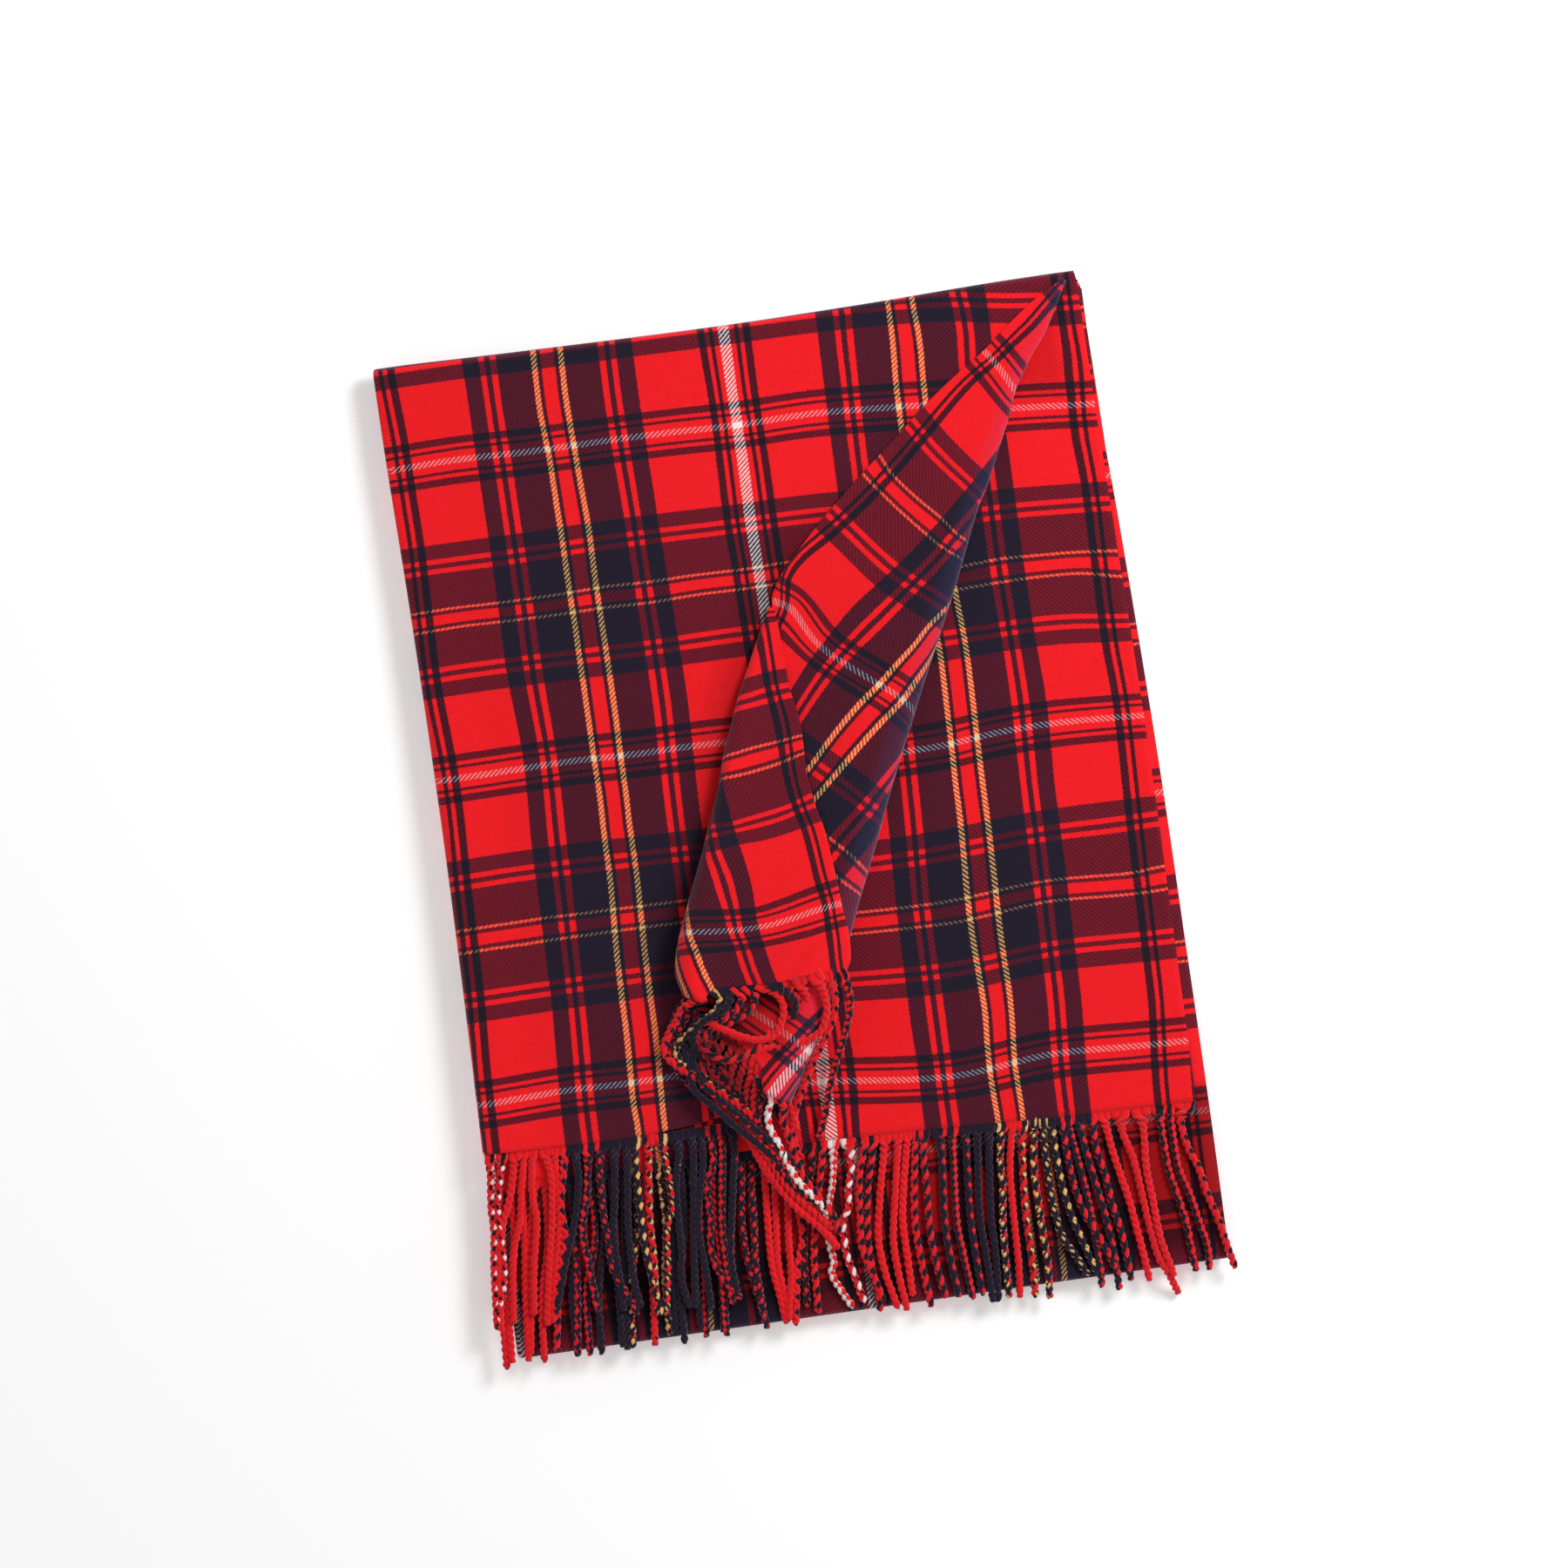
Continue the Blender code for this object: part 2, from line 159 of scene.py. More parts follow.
# selvedge of the flap down to its second fold, then the outer side of that fold
edge_outline = curve(
    ((4, -5.0), (15, -12.5), (31, -21.0), (50, -29.5), (64, -37.5), (85, -48.0), (109, -58.0), (120, -63.0), (144, -73.0),
     (163, -80.0), (186, -87.0), (196, -88.4), (206, -88.2), (221, -88.2), (239, -87.8), (253, -87.6), (266, -86.4),
     (284, -84.7), (297, -82.2), (319, -80.0), (330, -79.0), (355, -77.4), (373, -76.0), (386, -73.8), (394, -70.5), (401, -64.5))
)
edge_radius = curve(((198, 0.4), (206, 1.2), (220, 1.9), (260, 3.8), (320, 6.5), (380, 9.0), (401, 9.9)))
# selvedge of the corner that is turned over again
corner_edge = curve(
    ((202, -86.5), (229, -71.0), (240, -64.8), (251, -56.3), (263, -49.6), (278, -42.2), (291, -33.1), (300, -25.6),
     (319, -13.3), (334, -4.2), (345, 2.9), (357, 8.0), (364, 7.6))
)
flap_hem_drop = curve(((0.0, 0.0), (0.12, 2.0), (0.22, 11.0), (0.45, 17.5), (0.72, 21.5), (0.92, 28.0), (1.0, 33.0)))
corner_hem_drop = curve(((0.0, 0.0), (0.15, 8.0), (0.35, 14.0), (0.62, 23.0), (0.82, 32.0), (1.0, 37.5)))


def fold_axis(t):
    return fold_outline(t) - HALF - fold_radius(t)


def edge_axis(t):
    return edge_outline(t) + smooth((t - 197) / 9) * (HALF + edge_radius(t))


def flap_height(a, t):
    start, end = fold_axis(t), edge_axis(t)
    part = (start - a) / max(1.0, start - end)
    crease = 0.9 * math.exp(-(((a + 36 - (t - 200) * 0.18) / 9) ** 2)) * smooth((t - 150) / 60)
    return mix(FRONT_Z + 2 * fold_radius(t), FLAP_Z, smooth(part)) + crease * smooth(part * 4) * smooth((1 - part) * 4)


def corner_height(a, t):
    start, end = edge_axis(t), corner_edge(t)
    part = min(1.0, max(0.0, (a - start) / max(1.0, end - start)))
    rise = mix(2 * edge_radius(t), 2.6, part)
    # small puckers where its hem is drawn together
    lean = (t - 360) * 0.25
    drawn = smooth((t - 335) / 25) * smooth((1 - part) * 6)
    rise += drawn * (1.3 * math.exp(-(((a + 8 + lean) / 3.4) ** 2)) - 0.8 * math.exp(-(((a + 15 + lean) / 3.2) ** 2)))
    rise += drawn * (1.1 * math.exp(-(((a + 21 + lean) / 3.6) ** 2)) + 0.7 * math.exp(-(((a + 38 + lean) / 5.0) ** 2)))
    return flap_height(min(a, fold_axis(t)), t) + rise


def left_roll(v):
    radius = left_radius(v)
    return radius, left_outline(v) + HALF + radius


def hollow(u, v):
    """How far the top edge's slight hollow moves a point down the packet."""
    return top_edge(u) * (1 - smooth(v / TOP_EASE))


def beside_flap(u, v):
    """How deep in the shade of the lifted flap a point of the front panel lies."""
    a, t = to_fold(u, v)
    return (1 - smooth((edge_outline(t) - a) / 24)) * smooth((t - 120) / 80) * (1 - smooth((t - 390) / 20))


def ripple(u, v):
    """Soft unevenness of cloth that lies flat."""
    return (
        0.22 * math.sin(u / 23 + 1.3 * math.sin(v / 61))
        + 0.18 * math.sin(v / 31 + 0.8 * math.sin(u / 47))
        + 0.10 * math.sin((u + v) / 11)
    )


# --- where the pattern lies ---------------------------------------------------
# Each row is one thread line of the pattern: which way it runs, its cloth position, and packet positions on it.
FRONT_LINES = (
    ("v", 5.8, ((289.3, 14.0), (308.5, 17.6),)),
    ("u", 175.0, ((174.5, 5.1), (174.4, 33.5), (174.7, 55.5), (174.9, 73.0), (174.7, 108.0), (175.2, 138.8),)),
    ("u", 80.5, ((78.9, 2.5), (78.3, 28.7), (79.8, 55.2), (80.0, 81.5), (80.2, 107.8), (80.6, 138.5), (80.6, 169.2), (80.6, 199.9), (80.8, 226.2), (80.1, 265.5), (78.0, 304.6), (77.5, 326.5), (76.9, 352.6), (75.8, 378.8), (76.3, 387.6),)),
    ("u", 94.5, ((92.9, 0.1), (92.4, 30.7), (93.3, 61.5), (94.4, 87.9), (94.1, 114.2), (94.2, 138.3), (94.5, 166.8), (94.2, 206.2), (93.8, 236.8), (93.4, 276.1), (92.2, 315.4), (92.0, 341.7), (90.9, 367.8), (90.0, 389.6),)),
    ("u", 13.2, ((9.8, 6.0), (11.3, 32.5), (11.7, 63.2), (12.1, 85.2), (11.0, 163.9), (12.5, 190.4), (12.7, 225.5), (11.0, 277.8), (10.0, 316.9), (8.3, 347.3), (7.5, 377.9),)),
    ("u", 45.1, ((43.6, 10.7), (43.8, 45.8), (44.0, 72.1), (44.0, 124.7), (43.8, 159.7), (45.8, 195.0), (44.0, 238.6), (43.4, 273.5), (42.7, 321.6), (41.0, 352.0), (39.5, 386.9),)),
    ("u", 129.9, ((128.5, 5.1), (128.3, 31.4), (128.7, 62.1), (129.2, 92.9), (130.7, 150.0), (131.1, 180.7),)),
    ("u", 161.8, ((161.6, 9.9), (162.4, 31.9), (162.5, 49.5), (161.7, 80.0), (161.4, 97.5), (162.0, 115.1),)),
    ("u", 255.5, ((257.4, 1.6), (257.1, 19.1), (255.9, 36.4), (255.3, 62.6),)),
    ("u", 269.5, ((269.8, 3.4), (270.6, 25.4), (269.4, 49.3),)),
    ("u", 295.5, ((295.8, 2.7), (296.8, 20.3), (295.8, 33.3),)),
    ("u", 289.9, ((290.9, 6.3), (291.2, 19.5), (289.9, 34.7),)),
    ("u", 304.9, ((306.4, 2.0), (306.4, 17.3),)),
    ("u", 229.5, ((230.3, 19.6), (230.0, 37.1),)),
    ("v", 47.0, ((2.0, 48.1), (32.8, 47.2), (67.7, 48.2), (111.5, 48.3), (146.4, 48.9), (174.8, 49.9), (207.7, 49.3), (242.5, 51.2), (259.8, 52.4),)),
    ("v", 121.85, ((4.8, 120.3), (39.8, 120.4), (74.8, 120.6), (101.2, 120.0), (136.2, 120.6), (171.1, 121.2), (186.5, 120.7),)),
    ("v", 132.15, ((3.4, 130.5), (29.8, 129.8), (55.9, 130.5), (82.2, 130.7), (117.2, 131.3), (143.5, 130.7), (174.1, 131.1),)),
    ("v", 207.0, ((5.1, 204.4), (27.9, 204.2), (45.4, 204.0), (71.7, 203.8), (106.6, 204.9), (124.2, 204.7), (146.0, 205.2),)),
    ("v", 281.85, ((4.1, 279.5), (17.3, 279.2), (43.6, 279.0), (78.5, 279.6), (113.5, 280.2),)),
    ("v", 292.15, ((2.5, 291.0), (33.2, 290.9), (59.5, 290.7), (94.5, 290.9), (112.0, 291.2),)),
    ("v", 367.0, ((3.0, 366.7), (22.3, 366.3), (48.7, 365.7), (66.1, 366.4), (96.8, 366.4),)),
)

UNDER_LINES = (
    ("v", 47.0, ((313.3, 60.8), (328.5, 62.1), (345.8, 63.7),)),
    ("v", 121.85, ((276.5, 134.9), (294.2, 133.9), (318.1, 135.1), (335.5, 136.2), (354.9, 138.1),)),
    ("v", 132.15, ((274.9, 146.4), (294.7, 145.8), (333.9, 147.0), (353.0, 151.4),)),
    ("v", 207.0, ((239.1, 222.4), (257.5, 222.0), (270.9, 220.4), (306.2, 218.8), (354.0, 221.2),)),
    ("v", 281.85, ((198.6, 298.3), (226.9, 299.2), (251.1, 298.9), (268.9, 297.5), (295.4, 296.0), (338.8, 298.1), (352.1, 296.9),)),
    ("v", 292.15, ((196.2, 308.9), (225.4, 310.0), (249.4, 310.3), (267.2, 308.9), (293.8, 306.6), (337.3, 308.8), (350.4, 308.9),)),
    ("v", 367.0, ((178.1, 380.2), (216.8, 384.8), (243.0, 385.9), (260.8, 384.1), (283.0, 382.0), (326.5, 383.8), (348.3, 384.7),)),
    ("u", 269.5, ((270.7, 148.1), (271.8, 168.0), (271.9, 192.1), (271.2, 218.3), (270.8, 240.1), (270.6, 259.8), (269.7, 296.9), (269.0, 323.1), (269.1, 353.8), (266.9, 384.1), (267.2, 412.6),)),
    ("u", 255.5, ((258.6, 174.9), (258.2, 198.9), (257.8, 220.7), (257.0, 244.7), (256.9, 257.8), (254.9, 299.2), (254.9, 329.9), (255.6, 356.2), (254.0, 382.3), (254.4, 410.8),)),
    ("u", 304.9, ((306.9, 74.5), (306.7, 100.7), (307.3, 188.4), (307.9, 206.0), (306.1, 249.6), (304.6, 337.0), (304.1, 358.8), (301.6, 397.9),)),
    ("u", 338.75, ((342.6, 24.7), (341.8, 48.6),)),
    ("u", 343.7, ((347.7, 25.4), (348.4, 37.3), (348.2, 49.6),)),
    ("u", 336.8, ((338.8, 78.9), (340.1, 101.0), (339.4, 188.6), (340.4, 206.2), (339.5, 249.9), (337.4, 341.6), (336.9, 363.4), (333.7, 398.0),)),
    ("u", 220.1, ((218.5, 342.1), (218.2, 359.6), (217.9, 399.0),)),
    ("u", 175.0, ((172.8, 353.2), (171.2, 379.3), (171.6, 401.2), (171.2, 409.9),)),
    ("u", 188.2, ((187.6, 368.4), (187.3, 385.9), (185.8, 403.2),)),
)

FLAP_LINES = (
    ("v", 47.0, ((-22.3, 53.2), (-16.3, 57.0), (-9.3, 62.3), (-29.0, 49.6),)),
    ("v", 121.85, ((-53.5, 121.5), (-36.9, 129.5), (-21.0, 135.4), (-10.0, 140.8), (-60.0, 116.0),)),
    ("v", 132.15, ((-54.0, 133.2), (-18.8, 148.4), (-6.7, 151.0), (-65.0, 127.9),)),
    ("v", 207.0, ((-78.3, 201.5), (-63.1, 212.2), (-54.8, 216.2), (-39.6, 220.1), (-23.7, 223.7), (-9.6, 227.0), (-1.0, 231.3), (-86.4, 202.0),)),
    ("v", 281.85, ((-19.4, 304.0), (-7.3, 308.5), (0.8, 312.6),)),
    ("v", 292.15, ((-10.1, 321.4), (2.7, 325.1),)),
    ("v", 367.0, ((-35.6, 395.6), (-12.9, 401.4),)),
    ("u", 269.5, ((-1.8, 171.8), (-12.9, 197.9), (-23.7, 223.7), (-42.4, 273.9),)),
    ("u", 255.5, ((-0.7, 192.7), (-9.6, 227.0), (-33.7, 285.5),)),
    ("u", 235.1, ((1.1, 250.7), (-7.3, 273.1), (-11.0, 282.2), (-18.5, 300.0),)),
    ("u", 229.5, ((1.7, 261.3), (-3.7, 274.9), (-5.8, 284.0), (-13.0, 302.7),)),
    ("u", 175.0, ((9.1, 394.5), (3.5, 407.3), (-2.1, 418.4), (-6.9, 433.0),)),
    ("u", 350.0, ((-29.0, 49.6), (-60.0, 116.0), (-65.0, 127.9), (-86.4, 202.0),)),
    ("u", 336.8, ((-4.8, 20.4), (-8.3, 29.9), (-12.2, 37.2), (-16.1, 44.6), (-27.3, 65.1), (-38.0, 92.3), (-70.5, 164.8), (-82.0, 190.0),)),
    ("v", 59.0, ((-26.3, 65.1),)),
    ("v", 88.2, ((-37.0, 92.3), (-10.4, 105.5),)),
    ("u", 304.9, ((-10.4, 105.5), (-41.5, 178.0), (-53.4, 204.2), (-60.4, 225.1),)),
    ("v", 165.8, ((-69.5, 164.8), (-41.5, 178.0),)),
    ("v", 195.0, ((-81.0, 190.0), (-53.4, 204.2), (-13.1, 214.5),)),
    ("v", 219.0, ((-60.4, 225.1), (-21.4, 235.3),)),
    ("u", 262.5, ((-13.1, 214.5), (-21.4, 235.3), (-32.4, 263.0),)),
    ("v", 248.2, ((-32.4, 263.0),)),
    ("u", 205.8, ((6.1, 325.0),)),
    ("u", 198.1, ((7.8, 345.0),)),
    ("u", 189.7, ((8.7, 365.0),)),
    ("u", 181.4, ((9.7, 385.0),)),
    ("u", 220.1, ((-10.0, 325.0),)),
    ("u", 213.9, ((-10.0, 345.0),)),
    ("u", 206.3, ((-10.0, 365.0),)),
    ("u", 198.9, ((-10.0, 385.0),)),
    ("u", 191.0, ((-10.0, 405.0),)),
)

CORNER_LINES = (
    ("u", 350.0, ((-71.0, 228.8), (-64.7, 240.3), (-56.3, 251.2), (-50.0, 262.8), (-42.2, 278.4), (-33.1, 291.3), (-25.4, 300.1), (-13.3, 318.8), (-4.3, 334.1), (2.9, 345.4), (8.4, 357.2), (-85.6, 201.8),)),
    ("v", 248.2, ((-85.9, 241.9), (-77.8, 235.7),)),
    ("v", 257.0, ((-85.5, 252.3), (-74.9, 243.9),)),
    ("v", 262.0, ((-85.0, 257.7), (-71.8, 248.8),)),
    ("v", 281.85, ((-84.5, 283.0), (-73.4, 274.6), (-58.4, 264.8), (-51.0, 259.9),)),
    ("v", 292.15, ((-81.5, 293.5), (-69.4, 286.1), (-54.8, 275.0), (-47.5, 268.3),)),
    ("v", 312.0, ((-69.1, 313.1), (-45.3, 295.6),)),
    ("v", 317.0, ((-67.3, 315.7), (-42.3, 297.7),)),
    ("u", 295.5, ((-71.7, 327.8), (-60.6, 340.0), (-53.4, 351.3), (-47.1, 362.8), (-35.2, 377.1), (-30.2, 382.2),)),
    ("u", 289.9, ((-76.1, 329.4), (-64.5, 346.0), (-56.1, 356.8), (-47.7, 367.6), (-36.6, 382.2),)),
    ("u", 269.5, ((-81.1, 355.8), (-73.0, 367.3), (-66.5, 376.6), (-57.8, 387.3), (-53.2, 391.2), (-71.8, 370.6),)),
    ("u", 255.5, ((-75.4, 385.9), (-69.3, 393.3), (-63.8, 399.3),)),
    ("v", 207.0, ((-85.6, 201.8),)),
    ("u", 304.9, ((-62.5, 321.4), (-44.8, 348.3), (-40.0, 356.7),)),
    ("v", 325.8, ((-62.5, 321.4), (-36.4, 304.0),)),
    ("u", 336.8, ((-36.4, 304.0), (-20.2, 328.1),)),
    ("v", 355.0, ((-44.8, 348.3), (-20.2, 328.1),)),
    ("v", 367.0, ((-71.8, 370.6), (-40.0, 356.7), (-12.5, 336.9), (-6.2, 332.5),)),
    ("u", 338.0, ((-12.5, 336.9),)),
    ("u", 348.0, ((-6.2, 332.5),)),
)

front_warp = bending_plate(FRONT_LINES, "u")
front_weft = bending_plate(FRONT_LINES, "v")
under_warp = bending_plate(UNDER_LINES, "u")
under_weft = bending_plate(UNDER_LINES, "v")
flap_warp = bending_plate(FLAP_LINES, "u")
flap_weft = bending_plate(FLAP_LINES, "v")
corner_warp = bending_plate(CORNER_LINES, "u")
corner_weft = bending_plate(CORNER_LINES, "v")


# --- material nodes -----------------------------------------------------------
def srgb(r, g, b):
    def lin(c):
        c /= 255
        return c / 12.92 if c <= 0.04045 else ((c + 0.055) / 1.055) ** 2.4

    return (lin(r), lin(g), lin(b))


RED = srgb(245, 27, 34)
NAVY = srgb(33, 27, 43)
BLACK = srgb(28, 22, 33)
WHITE = srgb(250, 236, 232)
YELLOW = srgb(242, 188, 112)

HALF_SETT = 87.5  # across the scarf, from the middle of a white stripe to the middle of a yellow pair
WARP_STRIPES = (
    (0.0, WHITE), (2.5, RED), (5.4, BLACK), (7.2, RED), (9.3, BLACK), (13.2, RED), (45.1, NAVY), (53.1, RED),
    (55.9, NAVY), (58.6, RED), (61.6, NAVY), (79.1, YELLOW), (82.0, NAVY), (84.0, RED),
)
# in a twisted tassel the neighbours close over the thin bright stripes
YARN_STRIPES = (
    (0.0, WHITE), (1.7, RED), (4.9, BLACK), (7.5, RED), (9.0, BLACK), (13.2, RED), (45.1, NAVY), (53.6, RED),
    (55.4, NAVY), (59.1, RED), (61.1, NAVY), (79.7, YELLOW), (81.4, NAVY), (84.2, RED),
)
HALF_SETT_DOWN = 80.0  # the same along the scarf
WEFT_STRIPES = (
    (0.0, WHITE), (1.4, RED), (4.7, BLACK), (6.4, RED), (8.4, BLACK), (12.0, RED), (41.2, NAVY), (48.5, RED),
    (51.0, NAVY), (53.6, RED), (56.2, NAVY), (74.1, YELLOW), (75.5, NAVY), (77.2, RED),
)
WEFT_WHITE = 47.0  # how far below the top fold the first white line lies
WARP_YARN, WEFT_YARN = 0.62, 0.57


class Nodes:
    """A short way to write a material's nodes."""

    def __init__(self, name):
        self.material = bpy.data.materials.new(name)
        self.material.use_nodes = True
        self.tree = self.material.node_tree
        self.shader = self.tree.nodes["Principled BSDF"]

    def link(self, value, socket):
        if isinstance(value, bpy.types.NodeSocket):
            self.tree.links.new(value, socket)
        elif value is not None:
            socket.default_value = value

    def math(self, operation, a, b=None, c=None, clamp=False):
        node = self.tree.nodes.new("ShaderNodeMath")
        node.operation = operation
        node.use_clamp = clamp
        for value, socket in zip((a, b, c), node.inputs):
            self.link(value, socket)
        return node.outputs[0]

    def uv(self, name):
        node = self.tree.nodes.new("ShaderNodeUVMap")
        node.uv_map = name
        split = self.tree.nodes.new("ShaderNodeSeparateXYZ")
        self.link(node.outputs[0], split.inputs[0])
        return split.outputs[0], split.outputs[1]

    def vector(self, x, y, z=0.0):
        node = self.tree.nodes.new("ShaderNodeCombineXYZ")
        for value, socket in zip((x, y, z), node.inputs):
            self.link(value, socket)
        return node.outputs[0]

    def noise(self, vector, scale, detail=2.0, rough=0.5):
        node = self.tree.nodes.new("ShaderNodeTexNoise")
        self.link(vector, node.inputs["Vector"])
        node.inputs["Scale"].default_value = scale
        node.inputs["Detail"].default_value = detail
        node.inputs["Roughness"].default_value = rough
        return node.outputs[0]

    def ramp(self, value, stops):
        """Even stripes; alpha marks the light yarns."""
        node = self.tree.nodes.new("ShaderNodeValToRGB")
        node.color_ramp.interpolation = "CONSTANT"
        elements = node.color_ramp.elements
        while len(elements) > 1:
            elements.remove(elements[-1])
        for i, (at, colour) in enumerate(stops):
            element = elements[0] if i == 0 else elements.new(at)
            element.position = at
            element.color = (*colour, 1.0 if colour in (WHITE, YELLOW) else 0.0)
        self.link(value, node.inputs[0])
        return node.outputs[0], node.outputs[1]

    def stripes(self, position, first, half, rows, selvedge=False):
        """The colour of a yarn at a cloth position, mirrored at each end of the half sett."""
        way = self.math("PINGPONG", self.math("SUBTRACT", position, first), half)
        if selvedge:  # no white stripe at the edges of the scarf
            outer = self.math("GREATER_THAN", self.math("ABSOLUTE", position), 338.0)
            way = self.math("MAXIMUM", way, self.math("MULTIPLY", outer, 3.2))
        return self.ramp(self.math("DIVIDE", way, half), [(at / half, colour) for at, colour in rows])

    def split(self, colour):
        node = self.tree.nodes.new("ShaderNodeSeparateColor")
        self.link(colour, node.inputs[0])
        return node.outputs[0], node.outputs[1], node.outputs[2]

    def join(self, r, g, b):
        node = self.tree.nodes.new("ShaderNodeCombineColor")
        for value, socket in zip((r, g, b), node.inputs):
            self.link(value, socket)
        return node.outputs[0]

    def mix(self, part, a, b):
        node = self.tree.nodes.new("ShaderNodeMix")
        node.data_type = "RGBA"
        self.link(part, node.inputs[0])
        self.link(a, node.inputs[6])
        self.link(b, node.inputs[7])
        return node.outputs[2]

    def scale_colour(self, colour, factor):
        node = self.tree.nodes.new("ShaderNodeVectorMath")
        node.operation = "SCALE"
        self.link(colour, node.inputs[0])
        self.link(factor, node.inputs["Scale"])
        return node.outputs[0]

    def bump(self, height, distance, strength=1.0):
        node = self.tree.nodes.new("ShaderNodeBump")
        node.inputs["Strength"].default_value = strength
        node.inputs["Distance"].default_value = distance
        self.link(height, node.inputs["Height"])
        self.link(node.outputs[0], self.shader.inputs["Normal"])


def brushed(nodes, sheen=0.36):
    shader = nodes.shader
    shader.inputs["Roughness"].default_value = 0.95
    shader.inputs["Specular IOR Level"].default_value = 0.12
    shader.inputs["Sheen Weight"].default_value = sheen
    shader.inputs["Sheen Roughness"].default_value = 0.45
    shader.inputs["Sheen Tint"].default_value = (1.0, 0.72, 0.92, 1.0)


def tartan_material():
    """Twill woven from striped warp and striped weft, brushed so that the two colours blur into each other."""
    n = Nodes("brushed_tartan")
    x, y = n.uv("cloth")
    x = n.math("MULTIPLY", x, 1000.0)
    y = n.math("MULTIPLY", y, 1000.0)
    spot = n.vector(x, y)
    wobble = n.math("SUBTRACT", n.noise(spot, 0.9, 2.0), 0.5)
    stray = n.math("SUBTRACT", n.noise(n.vector(y, x), 1.1, 2.0), 0.5)
    blur = n.math("MULTIPLY", n.math("SUBTRACT", n.noise(spot, 3.1, 1.0), 0.5), 1.7)
    blur_down = n.math("MULTIPLY", n.math("SUBTRACT", n.noise(n.vector(y, x), 3.3, 1.0), 0.5), 1.7)
    warp_at = n.math("ADD", x, n.math("ADD", n.math("MULTIPLY", wobble, 0.9), blur))
    weft_at = n.math("ADD", y, n.math("ADD", n.math("MULTIPLY", stray, 0.9), blur_down))
    warp, warp_light = n.stripes(warp_at, 0.0, HALF_SETT, WARP_STRIPES, True)
    weft, weft_light = n.stripes(weft_at, WEFT_WHITE, HALF_SETT_DOWN, WEFT_STRIPES)
    # 2/2 twill: which of the two yarns is on top
    across = n.math("DIVIDE", n.math("ADD", x, n.math("MULTIPLY", wobble, 0.7)), WARP_YARN)
    down = n.math("DIVIDE", n.math("ADD", y, n.math("MULTIPLY", stray, 0.7)), WEFT_YARN)
    phase = n.math("FRACT", n.math("DIVIDE", n.math("ADD", across, down), 4.0))
    share_up = n.math("ADD", n.math("SUBTRACT", 0.66, n.math("MULTIPLY", warp_light, 0.14)), n.math("MULTIPLY", weft_light, 0.12))
    top = n.math("LESS_THAN", phase, share_up)
    # the nap: both colours blend, as fibres of each lie over the other
    fuzz = n.noise(spot, 1.3, 3.0, 0.6)
    coarse = n.noise(spot, 0.75, 2.0, 0.6)
    share = n.math("ADD", n.math("MULTIPLY", top, 0.15), n.math("ADD", 0.26, n.math("ADD", n.math("MULTIPLY", fuzz, 0.20), n.math("MULTIPLY", coarse, 0.22))))
    rest = n.math("SUBTRACT", 1.0, share)
    warp_parts, weft_parts = n.split(warp), n.split(weft)
    unlike = n.math("ABSOLUTE", n.math("SUBTRACT", warp_parts[0], weft_parts[0]))
    channels = []
    for a, b, tint in zip(warp_parts, weft_parts, (0.0, -0.24, 0.14)):
        both = n.math("MULTIPLY", n.math("POWER", a, share), n.math("POWER", b, rest))
        channels.append(n.math("MULTIPLY", both, n.math("ADD", 1.0, n.math("MULTIPLY", unlike, tint))))
    blended = n.join(*channels)
    sharp = n.mix(top, weft, warp)
    keep = n.math("ADD", 0.03, n.math("ADD", n.math("MULTIPLY", warp_light, 0.66), n.math("MULTIPLY", weft_light, 0.42)))
    colour = n.mix(n.math("MINIMUM", keep, 0.75), blended, sharp)
    # painted shade among the yarns: where warp and weft differ in colour the cloth is painted darker
    unlike_yarn_shade = n.math("SUBTRACT", 1.0, n.math("MULTIPLY", unlike, 0.17))
    mottle = n.noise(spot, 0.30, 3.0, 0.6)
    grain = n.noise(spot, 0.9, 2.0, 0.6)
    tone = n.math("ADD", 0.70, n.math("ADD", n.math("MULTIPLY", fuzz, 0.18), n.math("ADD", n.math("MULTIPLY", mottle, 0.26), n.math("MULTIPLY", grain, 0.26))))
    # painted shade: the second layer is darkened where the fringe of the first lies over it, more so on the left
    under = n.math("MULTIPLY", n.math("SUBTRACT", n.math("MULTIPLY", y, -1.0), 417.0), 0.12, clamp=True)
    past = n.math("MULTIPLY", n.math("SUBTRACT", n.math("MULTIPLY", y, -1.0), 494.0), 0.08, clamp=True)
    left = n.math("MULTIPLY", n.math("LESS_THAN", n.math("ABSOLUTE", x), 125.0), 0.14)
    shade = n.math("SUBTRACT", 1.0, n.math("MULTIPLY", n.math("SUBTRACT", under, past), n.math("ADD", 0.62, left)))
    # painted shade and painted sheen of each point, from the "dim" layer
    dim, fold_sheen_paint = n.uv("dim")
    shade = n.math("MULTIPLY", shade, n.math("SUBTRACT", 1.0, n.math("MULTIPLY", dim, 0.34)))
    tone = n.math("MULTIPLY", n.math("MULTIPLY", tone, unlike_yarn_shade), shade)
    # painted sheen: along a fold a dusky bluish bloom is painted over the colours, for the light the nap catches there
    painted_fold_sheen = n.mix(n.math("MULTIPLY", fold_sheen_paint, 0.30), n.scale_colour(colour, tone), (0.05, 0.075, 0.20, 1.0))
    n.link(painted_fold_sheen, n.shader.inputs["Base Color"])
    ridge = n.math("PINGPONG", phase, 0.5)
    n.bump(n.math("ADD", ridge, n.math("MULTIPLY", fuzz, 1.1)), 0.00022, 0.9)
    brushed(n)
    return n.material


